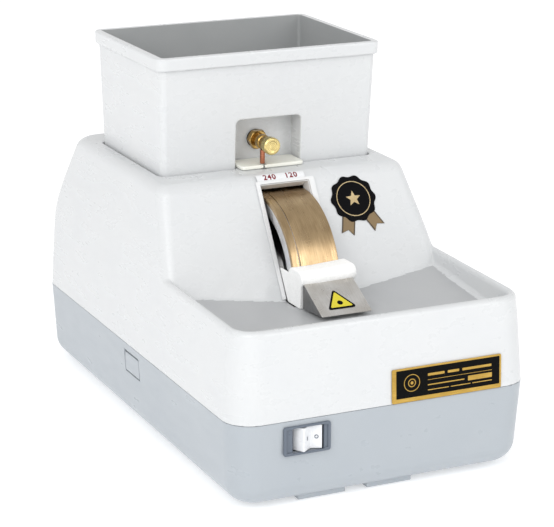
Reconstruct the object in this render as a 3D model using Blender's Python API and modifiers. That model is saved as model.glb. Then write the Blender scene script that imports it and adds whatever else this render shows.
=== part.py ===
"""Optician's hand edger: a water-fed grinding wheel in a two-part moulded housing.

Origin: middle of the outline on the surface that the feet stand on. +X right, +Y back, +Z up, metres.
Inside this file a place is given as (x, back, up): back from the front face, up from the underside.
"""

import math

import bmesh
import bpy
from mathutils import Matrix, Vector

# ---- driving dimensions (metres) ----
WIDTH_SEAM = 0.2282        # widest, where the two housings meet
DEPTH = 0.3845             # front face to back face
FOOT_HEIGHT = 0.003
SPIGOT_OUT = 0.0148        # how far the drain spigot stands out of the back
ROCKER_OUT = 0.0035        # how far the switch rocker stands out of the front
Y_FRONT = -(DEPTH + SPIGOT_OUT - ROCKER_OUT) / 2
GAP = 0.0003               # play between pieces that touch
WALL = 0.003

SEAM_UP = 0.0607
RIM_UP = 0.1244            # front rim of the basin
DECK_UP = 0.1855           # flat top that the tank stands on
HALF_SEAM = WIDTH_SEAM / 2
HALF_BOTTOM = 0.1104
HALF_RIM = 0.1099
HALF_DECK = 0.0985
PLAN_CORNER = 0.0203       # corner radius seen from above
BOTTOM_ROUND = 0.0145
FRONT_LEAN = 0.0025        # front face leans back by this much at the rim

SLOPE_FOOT = (0.1173, 0.1048)      # (back, up) where the sloping face meets the basin floor
SLOPE_RATE = 0.6245                # back per up along the sloping face
SLOPE_ANGLE = math.atan(SLOPE_RATE)
HOOD_UP = 0.12675                  # side rims meet the sloping face

BASIN_HALF = 0.1022
BASIN_FRONT = 0.012
BASIN_CORNER_UP = 0.1149
BASIN_FLOOR_UP = 0.1044

AXLE = (0.169, 0.1096)     # (back, up) of the wheel's axis
WHEEL_R = 0.0628
WHEEL_LEFT = -0.0196
WHEEL_RIGHT = 0.0169
FINE_RIGHT = -0.0138       # right edge of the narrow fine ring
RING_THICK = 0.0033
SHAFT_R = 0.006
SLOT_LEFT = -0.0216        # opening for the wheel in the sloping face
SLOT_RIGHT = 0.0181
SLOT_TOP_UP = 0.1798

TANK_TOP_UP = 0.2734
TANK_BOTTOM_UP = 0.1797
TANK_HALF_LOW = 0.0848
TANK_HALF_TOP = 0.0869
TANK_FRONT_LOW = 0.1966
TANK_FRONT_TOP = 0.1906
TANK_BACK_LOW = 0.3201
TANK_BACK_TOP = 0.3225
TANK_WALL = 0.0025
TANK_RIM_HEIGHT = 0.0095
TANK_RIM_OUT = 0.0028
RECESS_HALF = 0.0262
RECESS_TOP_UP = 0.2222
RECESS_CORNER = 0.004
RECESS_BACK = 0.2113

TAP_X = -0.0038
TAP_UP = 0.2036
SPOUT_X = -0.0072
SPOUT_BACK = 0.1901

SWITCH_X = -0.0607
SWITCH_UP = 0.0465
SWITCH_W = 0.0350
SWITCH_H = 0.0208
ROCKER_TILT = math.radians(9.0)

MOTOR_R = 0.036
MOTOR_LEFT = 0.0303
MOTOR_RIGHT = 0.098

SCREW_POSTS = [(side * 0.088, back) for side in (-1, 1) for back in (0.043, 0.343)]
BASE_BOSSES = [(side * 0.08, back) for side in (-1, 1) for back in (0.075, 0.315)]
FOOT_SIDE = 0.066
FOOT_BACKS = (("front", 0.055), ("rear", 0.320))

WELL_GAP = 0.0012          # play between the tank's foot and the well in the deck
WELL_OUTLINE = (TANK_HALF_LOW + WELL_GAP, TANK_FRONT_LOW - WELL_GAP, TANK_BACK_LOW + WELL_GAP, 0.006)

HATCH_FRONT, HATCH_BACK = 0.1758, 0.2053
HATCH_LOW, HATCH_HIGH = 0.0377, 0.0546

GUARD_TOP = (0.0928, 0.1243)       # (back, up) of the splash plate's upper and lower edges
GUARD_LOW = (0.0620, 0.1084)
GUARD_FOOT_UP = 0.1056             # its cheeks reach down to here at the back
GUARD_HALF = 0.0198
GUARD_THICK = 0.0008

BEZEL_LEFT = -0.0245
BEZEL_RIGHT = 0.0223
LABEL_UP = 0.1818

BADGE_PLACE = (0.0502, 0.1641)     # (x, up) on the sloping face
BADGE_R = 0.0176

NAMEPLATE_LEFT = 0.0032
NAMEPLATE_SIZE = (0.0855, 0.0243)

SPIGOT_X = -0.006
SPIGOT_UP = 0.022
INLET_X = 0.058
INLET_UP = 0.034

UPWARD = (0, 0, 1)

# ---- scene set-up ----
for old in list(bpy.data.objects):
    bpy.data.objects.remove(old, do_unlink=True)

PARTS = bpy.data.collections.new("hand_edger")
CUTTERS = bpy.data.collections.new("cutters")
bpy.context.scene.collection.children.link(PARTS)
bpy.context.scene.collection.children.link(CUTTERS)


def at(x, back, up):
    """Place in the part's frame."""
    return Vector((x, Y_FRONT + back, FOOT_HEIGHT + up))


def slope_back(up):
    """How far back the sloping face is at a height."""
    return SLOPE_FOOT[0] + (up - SLOPE_FOOT[1]) * SLOPE_RATE


def material(name, colour, roughness, metallic=0.0):
    mat = bpy.data.materials.new(name)
    mat.use_nodes = True
    shader = mat.node_tree.nodes["Principled BSDF"]
    shader.inputs["Base Color"].default_value = (*colour, 1.0)
    shader.inputs["Roughness"].default_value = roughness
    shader.inputs["Metallic"].default_value = metallic
    return mat


UPPER = material("upper_plastic", (0.84, 0.86, 0.87), 0.32)
LOWER = material("lower_plastic", (0.55, 0.60, 0.64), 0.36)
WHITE = material("white_plastic", (0.93, 0.93, 0.92), 0.35)
CREAM = material("cream_plastic", (0.86, 0.83, 0.74), 0.4)
SPONGE = material("sponge", (0.95, 0.95, 0.93), 0.9)
BRONZE = material("bonded_bronze", (0.62, 0.45, 0.24), 0.38, 1.0)
ALUMINIUM = material("aluminium", (0.80, 0.80, 0.82), 0.3, 1.0)
STAINLESS = material("stainless", (0.66, 0.64, 0.61), 0.28, 1.0)
STEEL = material("steel", (0.52, 0.53, 0.54), 0.35, 1.0)
ZINC = material("zinc_plate", (0.60, 0.61, 0.60), 0.42, 1.0)
BRASS = material("brass", (0.80, 0.58, 0.22), 0.25, 1.0)
COPPER = material("copper", (0.72, 0.36, 0.22), 0.3, 1.0)
RUBBER = material("rubber", (0.03, 0.03, 0.03), 0.75)
BLACK = material("black_plastic", (0.02, 0.02, 0.022), 0.4)
GREY = material("grey_plastic", (0.30, 0.34, 0.39), 0.3)
CASTING = material("motor_casting", (0.35, 0.37, 0.39), 0.5, 0.6)
LABEL = material("printed_label", (0.9, 0.9, 0.9), 0.45)
PLATE = material("black_gold_plate", (0.05, 0.04, 0.03), 0.3)
YELLOW = material("yellow_label", (0.85, 0.78, 0.08), 0.4)


# ---- building helpers ----
def link(name, mesh, mat=None, cutter=False):
    obj = bpy.data.objects.new(name, mesh)
    if cutter:
        CUTTERS.objects.link(obj)
        obj.hide_render = True
        obj.display_type = "WIRE"
    else:
        PARTS.objects.link(obj)
    if mat:
        mesh.materials.append(mat)
    return obj


def finish(bm, name, mat, smooth_deg=35, cutter=False):
    """Turns a bmesh into an object with outward faces, shaded smooth between sharp edges."""
    bmesh.ops.recalc_face_normals(bm, faces=bm.faces)
    mesh = bpy.data.meshes.new(name)
    bm.to_mesh(mesh)
    bm.free()
    mesh.shade_smooth()
    mesh.set_sharp_from_angle(angle=math.radians(smooth_deg))
    return link(name, mesh, mat, cutter)


def box(name, low, high, mat=None, round_edge=0.0, cutter=False):
    """A box between two corners given as (x, back, up)."""
    low, high = at(*low), at(*high)
    bm = bmesh.new()
    bmesh.ops.create_cube(bm, size=1.0)
    size = high - low
    bmesh.ops.scale(bm, vec=size, verts=bm.verts)
    if round_edge:
        bmesh.ops.bevel(bm, geom=bm.edges[:], offset=round_edge, segments=2, affect="EDGES", profile=0.5)
    obj = finish(bm, name, mat, cutter=cutter)
    obj.location = (low + high) / 2
    return obj


def cylinder(name, centre, axis, radius, length, mat=None, sides=24, cutter=False):
    """A cylinder about the middle of its axis."""
    bm = bmesh.new()
    bmesh.ops.create_cone(bm, cap_ends=True, segments=sides, radius1=radius, radius2=radius, depth=length)
    obj = finish(bm, name, mat, cutter=cutter)
    obj.location = centre
    obj.rotation_euler = Vector(axis).to_track_quat("Z", "Y").to_euler()
    return obj


def turned(name, profile, start, axis, mat, steps=24, closed=False):
    """Turns (radius, along) points about an axis; along grows from start in the axis direction."""
    mesh = bpy.data.meshes.new(name)
    points = [(radius, 0.0, along) for radius, along in profile]
    edges = [(i, i + 1) for i in range(len(points) - 1)]
    if closed:
        edges.append((len(points) - 1, 0))
    mesh.from_pydata(points, edges, [])
    obj = link(name, mesh, mat)
    screw = obj.modifiers.new("turn", "SCREW")
    screw.axis = "Z"
    screw.steps = screw.render_steps = steps
    screw.use_merge_vertices = True
    screw.merge_threshold = 0.00001
    screw.use_normal_calculate = False
    obj.location = start
    obj.rotation_euler = Vector(axis).to_track_quat("Z", "Y").to_euler()
    return obj


def ring_profile(inner, outer, low, high):
    """Closed outline of a plain ring, running down its outer side."""
    return [(outer, high), (outer, low), (inner, low), (inner, high)]


def ring(name, inner, outer, start, axis, length, mat, steps=24):
    return turned(name, ring_profile(inner, outer, 0.0, length), start, axis, mat, steps, closed=True)


def rounded_outline(half_x, front, back, corner, steps=3):
    """Rounded rectangle as (x, back) points, anticlockwise from the front right."""
    points = []
    centres = [(half_x - corner, front + corner, -90), (half_x - corner, back - corner, 0),
               (corner - half_x, back - corner, 90), (corner - half_x, front + corner, 180)]
    for cx, cy, start in centres:
        for step in range(steps + 1):
            angle = math.radians(start + 90 * step / steps)
            points.append((cx + corner * math.cos(angle), cy + corner * math.sin(angle)))
    return points


def loft(name, levels, mat=None, cutter=False, steps=3):
    """Closed skin over (up, half width, front, back, corner radius) levels."""
    bm = bmesh.new()
    rings = []
    for up, half_x, front, back, corner in levels:
        outline = rounded_outline(half_x, front, back, corner, steps)
        rings.append([bm.verts.new(at(x, y, up)) for x, y in outline])
    for lower, upper in zip(rings, rings[1:]):
        count = len(lower)
        for i in range(count):
            j = (i + 1) % count
            bm.faces.new((lower[i], lower[j], upper[j], upper[i]))
    bm.faces.new(reversed(rings[0]))
    bm.faces.new(rings[-1])
    return finish(bm, name, mat, cutter=cutter)


def extrude(bm, face, offset):
    """Extrudes a face of a bmesh by an offset."""
    moved = bmesh.ops.extrude_face_region(bm, geom=[face])["geom"]
    bmesh.ops.translate(bm, vec=offset, verts=[g for g in moved if isinstance(g, bmesh.types.BMVert)])


def prism_x(name, outline, left, right, mat=None, cutter=False):
    """Extrudes a (back, up) outline along X."""
    bm = bmesh.new()
    face = bm.faces.new([bm.verts.new(at(left, back, up)) for back, up in outline])
    extrude(bm, face, (right - left, 0, 0))
    return finish(bm, name, mat, cutter=cutter)


def sheet(name, outline, thickness, matrix, mat):
    """Extrudes a flat (x, y) outline along local +Z and places it."""
    bm = bmesh.new()
    face = bm.faces.new([bm.verts.new((x, y, 0.0)) for x, y in outline])
    extrude(bm, face, (0, 0, thickness))
    obj = finish(bm, name, mat)
    obj.matrix_world = matrix
    return obj


def cut(target, cutter, operation="DIFFERENCE"):
    """Adds an exact Boolean; the cutter goes to the cutters collection."""
    if cutter.name in PARTS.objects:
        PARTS.objects.unlink(cutter)
        CUTTERS.objects.link(cutter)
        cutter.hide_render = True
        cutter.display_type = "WIRE"
    modifier = target.modifiers.new(cutter.name, "BOOLEAN")
    modifier.operation = operation
    modifier.solver = "EXACT"
    modifier.object = cutter


def drill(target, name, centre, axis, radius, length, sides):
    """Cuts a round hole, given about the middle of its axis."""
    cut(target, cylinder(name, centre, axis, radius, length, sides=sides, cutter=True))


def arc(centre, radius, start_deg, end_deg, steps):
    """Points (back, up) along an arc."""
    points = []
    for step in range(steps + 1):
        angle = math.radians(start_deg + (end_deg - start_deg) * step / steps)
        points.append((centre[0] + radius * math.cos(angle), centre[1] + radius * math.sin(angle)))
    return points


def slope_matrix(x, up, proud):
    """Frame lying on the sloping face: local X right, local Y up the face, local Z out of it."""
    origin = at(x, slope_back(up), up)
    up_face = Vector((0, math.sin(SLOPE_ANGLE), math.cos(SLOPE_ANGLE)))
    out = Vector((0, -math.cos(SLOPE_ANGLE), math.sin(SLOPE_ANGLE)))
    rows = Matrix((Vector((1, 0, 0)), up_face, out)).transposed().to_4x4()
    return Matrix.Translation(origin + out * proud) @ rows


# ---- housings ----

def side_half(up):
    """Half width of the housings at a height."""
    if up <= SEAM_UP:
        return HALF_BOTTOM + (HALF_SEAM - HALF_BOTTOM) * up / SEAM_UP
    if up <= RIM_UP:
        return HALF_SEAM + (HALF_RIM - HALF_SEAM) * (up - SEAM_UP) / (RIM_UP - SEAM_UP)
    return HALF_RIM + (HALF_DECK - HALF_RIM) * (up - RIM_UP) / (DECK_UP - RIM_UP)


def back_face(up):
    """The back is upright below and curves forward above the rim."""
    bend_up = 0.118
    if up <= bend_up:
        return DEPTH
    rise = up - bend_up
    return DEPTH - 0.62 * rise * rise / (rise + 0.022)


def front_face(up):
    if up <= SEAM_UP:
        return 0.003 * (1 - up / SEAM_UP)
    return FRONT_LEAN * (up - SEAM_UP) / (RIM_UP - SEAM_UP)


def body_level(up, inset=0.0):
    return (up, side_half(up) - inset, front_face(up) + inset, back_face(up) - inset,
            max(PLAN_CORNER - inset, 0.004))


def bottom_levels(floor_up, radius, inset):
    """Levels of the rounded bottom edge, then up to the seam."""
    levels = []
    for step in range(5):
        angle = math.radians(90 * step / 4)
        up = floor_up + radius * (1 - math.cos(angle))
        half = side_half(up) - inset - radius * (1 - math.sin(angle))
        front = front_face(up) + inset + radius * (1 - math.sin(angle))
        back = DEPTH - inset - radius * (1 - math.sin(angle))
        corner = max(PLAN_CORNER - inset - radius * (1 - math.sin(angle)) * 0.5, 0.004)
        levels.append((up, half, front, back, corner))
    return levels


def lower_housing():
    outer = bottom_levels(0.0, BOTTOM_ROUND, 0.0) + [body_level(SEAM_UP - GAP / 2)]
    shell = loft("lower_housing", outer, LOWER)
    inner = bottom_levels(WALL, BOTTOM_ROUND - WALL, WALL) + [body_level(SEAM_UP + 0.01, WALL)]
    cut(shell, loft("tub_hollow", inner, cutter=True))
    for i, (left, right) in enumerate(((-0.061, -0.0255), (-0.0085, 0.026))):
        pad = box(f"front_pad_{i}", (left, 0.0125, -0.0025), (right, 0.040, 0.002), cutter=True)
        cut(shell, pad, "UNION")
    for i, (x, back) in enumerate(SCREW_POSTS):
        post = cylinder(f"tub_post_{i}", at(x, back, 0.0310), UPWARD, 0.0065, 0.0575, sides=12, cutter=True)
        cut(shell, post, "UNION")
    for i, (x, back) in enumerate(BASE_BOSSES):
        boss = cylinder(f"base_boss_{i}", at(x, back, 0.0053), UPWARD, 0.005, 0.0066, sides=12, cutter=True)
        cut(shell, boss, "UNION")
    for i, (x, back) in enumerate(SCREW_POSTS):
        drill(shell, f"post_bore_{i}", at(x, back, 0.03), UPWARD, 0.0022, 0.08, 12)
        drill(shell, f"post_counterbore_{i}", at(x, back, 0.0), UPWARD, 0.0046, 0.02, 12)
    for i, (x, back) in enumerate(BASE_BOSSES):
        drill(shell, f"boss_bore_{i}", at(x, back, 0.009), UPWARD, 0.0019, 0.010, 10)
    switch_hole = box("switch_hole", (SWITCH_X - 0.0152, -0.01, SWITCH_UP - 0.0092),
                      (SWITCH_X + 0.0152, 0.02, SWITCH_UP + 0.0092), cutter=True)
    cut(shell, switch_hole)
    inlet_hole = box("inlet_hole", (INLET_X - 0.0139, DEPTH - 0.02, INLET_UP - 0.0139),
                     (INLET_X + 0.0139, DEPTH + 0.01, INLET_UP + 0.0139), cutter=True)
    cut(shell, inlet_hole)
    drill(shell, "spigot_hole", at(SPIGOT_X, DEPTH - 0.002, SPIGOT_UP), (0, 1, 0), 0.0063, 0.02, 20)
    hatch_hole = box("hatch_hole", (-0.125, HATCH_FRONT, HATCH_LOW), (-0.100, HATCH_BACK, HATCH_HIGH),
                     cutter=True)
    cut(shell, hatch_hole)
    for i in range(6):
        x = -0.075 + 0.03 * i
        cut(shell, box(f"floor_vent_{i}", (x - 0.002, 0.15, -0.01), (x + 0.002, 0.20, 0.007), cutter=True))


def upper_housing():
    ups = [SEAM_UP + GAP / 2, 0.100, 0.118, 0.126, 0.138, 0.152, 0.166, 0.1795]
    levels = [body_level(up) for up in ups]
    for up, inset in ((0.1835, 0.0012), (DECK_UP, 0.0042)):
        levels.append(body_level(up, inset))
    shell = loft("upper_housing", levels, UPPER)
    front_space = prism_x("space_before_slope", [
        (-0.02, RIM_UP), (slope_back(HOOD_UP) - 0.02, HOOD_UP - 0.0004), (slope_back(HOOD_UP), HOOD_UP),
        (slope_back(0.21), 0.21), (-0.02, 0.21)], -0.14, 0.14, cutter=True)
    cut(shell, front_space)
    cut(shell, basin_cutter())
    hollow_slope = WALL / math.cos(SLOPE_ANGLE)
    inner = [body_level(up, WALL) for up in (0.05, 0.0615, 0.100, 0.118, 0.126, 0.138, 0.152, 0.166, 0.1775)]
    inner_top = 0.1775
    hollow = loft("hood_hollow", [(inner[0][0], *body_level(SEAM_UP, WALL)[1:])] + inner[1:], cutter=True)
    keep = prism_x("under_basin_and_slope", [
        (-0.01, 0.04), (-0.01, BASIN_FLOOR_UP - WALL), (slope_back(BASIN_FLOOR_UP - WALL) + hollow_slope,
        BASIN_FLOOR_UP - WALL), (slope_back(inner_top + 0.02) + hollow_slope, inner_top + 0.02),
        (DEPTH + 0.02, inner_top + 0.02), (DEPTH + 0.02, 0.04)], -0.15, 0.15, cutter=True)
    cut(hollow, keep, "INTERSECT")
    cut(shell, hollow)
    well_levels = [(up, *WELL_OUTLINE) for up in (TANK_BOTTOM_UP - GAP, DECK_UP + 0.01)]
    well = loft("tank_well", well_levels, cutter=True)
    land = box("shelf_land", (-RECESS_HALF + 0.0006, TANK_FRONT_LOW - 0.01, 0.16),
               (RECESS_HALF - 0.0006, RECESS_BACK - 0.0006, 0.21), cutter=True)
    cut(well, land)
    cut(shell, well)
    cut(shell, box("wheel_slot", (SLOT_LEFT, 0.1025, 0.09), (SLOT_RIGHT, 0.1755, SLOT_TOP_UP), cutter=True))
    drill(shell, "drip_hole", at(SPOUT_X, SPOUT_BACK, DECK_UP), UPWARD, 0.004, 0.03, 16)
    for i, (x, back) in enumerate(SCREW_POSTS):
        top = 0.1030 if back < 0.1 else 0.085
        height = top - SEAM_UP - 0.0006
        post = cylinder(f"hood_post_{i}", at(x, back, top - height / 2), UPWARD, 0.0085, height,
                        sides=16, cutter=True)
        cut(shell, post, "UNION")
        if back > 0.1:
            side = math.copysign(1.0, x)
            reach = sorted((x + side * 0.004, side * (side_half(0.07) - 0.001)))
            rib = box(f"hood_rib_{i}", (reach[0], back - 0.0015, 0.064), (reach[1], back + 0.0015, 0.0845),
                      cutter=True)
            cut(shell, rib, "UNION")
    for i, (x, back) in enumerate(SCREW_POSTS):
        drill(shell, f"hood_bore_{i}", at(x, back, 0.06), UPWARD, 0.0019, 0.030, 10)


def basin_cutter():
    """Space of the basin: a floor of three facets, with the back corners raised."""
    tuck = 0.00005
    left_back = (-BASIN_HALF, slope_back(BASIN_CORNER_UP) - tuck, BASIN_CORNER_UP)
    mid_left = (-0.022, slope_back(BASIN_FLOOR_UP) - tuck, BASIN_FLOOR_UP)
    mid_right = (0.022, slope_back(BASIN_FLOOR_UP) - tuck, BASIN_FLOOR_UP)
    right_back = (BASIN_HALF, slope_back(BASIN_CORNER_UP) - tuck, BASIN_CORNER_UP)
    right_front = (BASIN_HALF - 0.001, BASIN_FRONT, BASIN_FLOOR_UP + 0.0006)
    left_front = (0.001 - BASIN_HALF, BASIN_FRONT, BASIN_FLOOR_UP + 0.0006)
    top_up = 0.14
    top_half, top_front, top_back = BASIN_HALF + 0.0015, BASIN_FRONT - 0.0018, slope_back(top_up) - tuck
    tops = [(-top_half, top_front, top_up), (top_half, top_front, top_up), (top_half, top_back, top_up),
            (-top_half, top_back, top_up)]
    bm = bmesh.new()
    lb, ml, mr, rb, rf, lf = [bm.verts.new(at(*p)) for p in
                              (left_back, mid_left, mid_right, right_back, right_front, left_front)]
    tlf, trf, trb, tlb = [bm.verts.new(at(*p)) for p in tops]
    for corners in ((lb, ml, lf), (ml, mr, rf, lf), (mr, rb, rf), (tlf, trf, trb, tlb), (lf, rf, trf, tlf),
                    (lb, lf, tlf, tlb), (rf, rb, trb, trf), (ml, lb, tlb, trb, rb, mr)):
        bm.faces.new(corners)
    bmesh.ops.triangulate(bm, faces=[f for f in bm.faces if len(f.verts) > 3])
    return finish(bm, "basin_space", None, cutter=True)


def feet():
    for side, word in ((-1, "left"), (1, "right")):
        for place, back in FOOT_BACKS:
            profile = [(0.0, -GAP), (0.0085, -GAP), (0.0095, -FOOT_HEIGHT + 0.0006),
                       (0.0089, -FOOT_HEIGHT), (0.0, -FOOT_HEIGHT)]
            turned(f"foot_{place}_{word}", profile, at(side * FOOT_SIDE, back, 0.0), UPWARD, RUBBER, 16)


def housing_screws():
    for i, (x, back) in enumerate(SCREW_POSTS):
        profile = [(0.0, 0.072), (0.0015, 0.070), (0.0015, 0.0097), (0.0040, 0.0097), (0.0040, 0.0068),
                   (0.0, 0.0068)]
        turned(f"housing_screw_{i + 1}", profile, at(x, back, 0.0), UPWARD, ZINC, 8)


def base_plate():
    plate = box("base_plate", (-0.095, 0.060, 0.009), (0.095, 0.330, 0.011), ZINC)
    for i, (x, back) in enumerate(BASE_BOSSES):
        drill(plate, f"plate_bore_{i}", at(x, back, 0.01), UPWARD, 0.0022, 0.02, 12)
        profile = [(0.0, 0.0138), (0.0030, 0.0138), (0.0040, 0.0128), (0.0040, 0.0113), (0.0015, 0.0113),
                   (0.0015, 0.0050), (0.0, 0.0050)]
        turned(f"base_screw_{i + 1}", profile, at(x, back, 0.0), UPWARD, ZINC, 8)
    clearance = box("plate_vent", (-0.06, 0.235, 0.0), (-0.02, 0.30, 0.02), cutter=True)
    cut(plate, clearance)


# ---- motor and wheel ----
def shaft_point(x):
    return at(x, *AXLE)


def motor():
    along = (1, 0, 0)
    foot_up = 0.0113
    outline = [(AXLE[0] - 0.037, foot_up), (AXLE[0] + 0.037, foot_up)]
    outline += arc(AXLE, 0.037, 0, 180, 16)
    bracket = prism_x("motor_bracket", outline, 0.027, 0.030, STEEL)
    foot = box("bracket_foot", (0.0285, AXLE[0] - 0.037, foot_up), (0.072, AXLE[0] + 0.037, foot_up + 0.003),
               cutter=True)
    cut(bracket, foot, "UNION")
    for i, back in enumerate((AXLE[0] - 0.030, AXLE[0] + 0.030)):
        rib = prism_x(f"bracket_rib_{i}", [(back - 0.0015, foot_up + 0.001), (back + 0.0015, foot_up + 0.001),
                                            (back + 0.0015, 0.030), (back - 0.0015, 0.030)], 0.029, 0.060,
                      cutter=True)
        cut(bracket, rib, "UNION")
    drill(bracket, "bracket_bore", shaft_point(0.0285), along, 0.0146, 0.02, 24)
    for i in range(2):
        angle = math.radians(45 + 180 * i)
        place = at(0.0285, AXLE[0] + 0.028 * math.cos(angle), AXLE[1] + 0.028 * math.sin(angle))
        drill(bracket, f"bracket_hole_{i}", place, along, 0.0024, 0.02, 10)
        head = at(0.0245, AXLE[0] + 0.028 * math.cos(angle), AXLE[1] + 0.028 * math.sin(angle))
        profile = [(0.0, 0.0085), (0.0018, 0.0085), (0.0018, 0.0022), (0.0036, 0.0022), (0.0036, 0.0004),
                   (0.0028, 0.0), (0.0, 0.0)]
        turned(f"motor_screw_{i + 1}", profile, head, along, ZINC, 8)
    seat_r, bearing_w = 0.0143, 0.0065
    bell = [(MOTOR_R, 0.0077), (MOTOR_R, 0.0012), (MOTOR_R - 0.0012, 0.0), (seat_r, 0.0), (seat_r, 0.0077)]
    front = turned("motor_front_bell", bell, shaft_point(MOTOR_LEFT), along, CASTING, 24, closed=True)
    for i in range(2):
        angle = math.radians(45 + 180 * i)
        place = at(MOTOR_LEFT, AXLE[0] + 0.028 * math.cos(angle), AXLE[1] + 0.028 * math.sin(angle))
        drill(front, f"bell_hole_{i}", place, along, 0.0022, 0.008, 10)
    ring("motor_shell", MOTOR_R - 0.0024, MOTOR_R - 0.0004, shaft_point(0.0383), along, 0.0517, STEEL, 24)
    rear = [(0.0, 0.0088), (0.0175, 0.0088), (0.020, 0.0076), (MOTOR_R - 0.0014, 0.0076), (MOTOR_R, 0.0062),
            (MOTOR_R, 0.0), (seat_r, 0.0), (seat_r, 0.0070), (0.0, 0.0070)]
    turned("motor_rear_bell", rear, shaft_point(0.0903), along, CASTING, 24)
    ring("stator_core", 0.0203, MOTOR_R - 0.0027, shaft_point(0.0440), along, 0.0400, STEEL, 24)
    ring("rotor_core", SHAFT_R + 0.0001, 0.0198, shaft_point(0.0450), along, 0.0380, ALUMINIUM, 24)
    for word, x in (("front", 0.0306), ("rear", 0.0906)):
        ring(f"bearing_{word}", SHAFT_R + GAP, seat_r - GAP, shaft_point(x), along, bearing_w, STEEL, 20)
    shaft = [(0.0, 0.1230), (SHAFT_R - 0.0006, 0.1230), (SHAFT_R, 0.1224), (SHAFT_R, 0.0440), (0.0090, 0.0440),
             (0.0090, 0.0418), (SHAFT_R, 0.0418), (SHAFT_R, 0.0008), (SHAFT_R - 0.0008, 0.0), (0.0, 0.0)]
    turned("motor_shaft", shaft, shaft_point(-0.0264), along, STEEL, 20)


def wheel():
    along = (1, 0, 0)
    bore = SHAFT_R + 0.0001
    core_r = WHEEL_R - RING_THICK - 0.0001
    left, right = WHEEL_LEFT + 0.0003, WHEEL_RIGHT - 0.0003
    width = right - left
    hub_in = 0.0073
    web_in = 0.0110
    core = [(core_r, width), (core_r, 0.0), (0.051, 0.0), (0.047, web_in), (0.0225, web_in), (0.0215, hub_in),
            (bore, hub_in), (bore, width - 0.0046), (0.0215, width - 0.0046), (0.0225, width - 0.0085),
            (0.047, width - 0.0085), (0.051, width)]
    turned("wheel_core", core, shaft_point(left), along, ALUMINIUM, 40, closed=True)
    ring("fine_ring", WHEEL_R - RING_THICK, WHEEL_R, shaft_point(WHEEL_LEFT), along, FINE_RIGHT - WHEEL_LEFT,
         BRONZE, 40)
    ring("coarse_ring", WHEEL_R - RING_THICK, WHEEL_R, shaft_point(FINE_RIGHT + 0.0006), along,
         WHEEL_RIGHT - FINE_RIGHT - 0.0006, BRONZE, 40)
    hub_left = left + hub_in
    hub_right = right - 0.0046
    ring("inner_flange", bore, 0.018, shaft_point(hub_right + 0.0001), along, 0.0030, STEEL, 20)
    ring("outer_flange", bore, 0.018, shaft_point(hub_left - 0.0031), along, 0.0030, STEEL, 20)
    nut = cylinder("wheel_nut", shaft_point(hub_left - 0.0067), along, 0.0105, 0.0068, ZINC, sides=6)
    drill(nut, "nut_bore", shaft_point(hub_left - 0.0067), along, SHAFT_R + 0.0001, 0.02, 20)


def wheel_chamber():
    """Trough that catches the water thrown off the wheel, with a drain stub below it."""
    left, right = -0.0330, 0.0226
    wall = 0.0022
    top_up = 0.150
    floor_under = BASIN_FLOOR_UP - WALL - 0.0006
    radius = 0.0705
    slope_out = (WALL + 0.0006) / math.cos(SLOPE_ANGLE)
    below = arc(AXLE, radius, 188, 360, 20)
    outline = below + [(AXLE[0] + radius, top_up), (slope_back(top_up) + slope_out, top_up),
                       (slope_back(floor_under) + slope_out, floor_under), (AXLE[0] - radius, floor_under)]
    trough = prism_x("wheel_chamber", outline, left, right, BLACK)
    inner = arc(AXLE, radius - wall, 180, 360, 20)
    hollow = inner + [(AXLE[0] + radius - wall, 0.20), (AXLE[0] - radius + wall, 0.20)]
    cut(trough, prism_x("trough_hollow", hollow, left + wall, right - wall, cutter=True))
    stub = cylinder("trough_stub", at(SPIGOT_X, AXLE[0], 0.0382), UPWARD, 0.005, 0.004, sides=16, cutter=True)
    cut(trough, stub, "UNION")
    drill(trough, "trough_drain", at(SPIGOT_X, AXLE[0], 0.0370), UPWARD, 0.0035, 0.02, 16)
    drill(trough, "trough_bore", shaft_point(right), (1, 0, 0), 0.0102, 0.02, 24)
    ring("shaft_seal", SHAFT_R + GAP, 0.0099, shaft_point(right - wall), (1, 0, 0), wall, RUBBER, 16)


def drain():
    top_up, turn, end_back = 0.0359, 0.012, DEPTH - 0.0112 - GAP
    route = [at(SPIGOT_X, AXLE[0], top_up)]
    for step in range(7):
        angle = math.radians(90 * step / 6)
        back, up = AXLE[0] + turn * (1 - math.cos(angle)), SPIGOT_UP + turn * (1 - math.sin(angle))
        route.append(at(SPIGOT_X, back, up))
    bend_end, last = route[-1], at(SPIGOT_X, end_back, SPIGOT_UP)
    straight_steps = 8
    for step in range(1, straight_steps + 1):
        route.append(bend_end.lerp(last, step / straight_steps))
    curve = bpy.data.curves.new("drain_tube", "CURVE")
    curve.dimensions = "3D"
    curve.bevel_depth = 0.0055
    curve.bevel_resolution = 2
    curve.use_fill_caps = True
    spline = curve.splines.new("POLY")
    spline.points.add(len(route) - 1)
    for point, place in zip(spline.points, route):
        point.co = (*place, 1.0)
    tube = bpy.data.objects.new("drain_tube", curve)
    curve.materials.append(GREY)
    PARTS.objects.link(tube)
    profile = [(0.0036, 0.0260), (0.0052, 0.0250), (0.0043, 0.0215), (0.0052, 0.0205), (0.0043, 0.0170),
               (0.0045, 0.0140), (0.0095, 0.0140), (0.0095, 0.0115), (0.0060, 0.0115), (0.0060, 0.0000),
               (0.0036, 0.0000)]
    start = at(SPIGOT_X, DEPTH + SPIGOT_OUT - 0.0260, SPIGOT_UP)
    turned("drain_spigot", profile, start, (0, 1, 0), BLACK, 16, closed=True)


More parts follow.
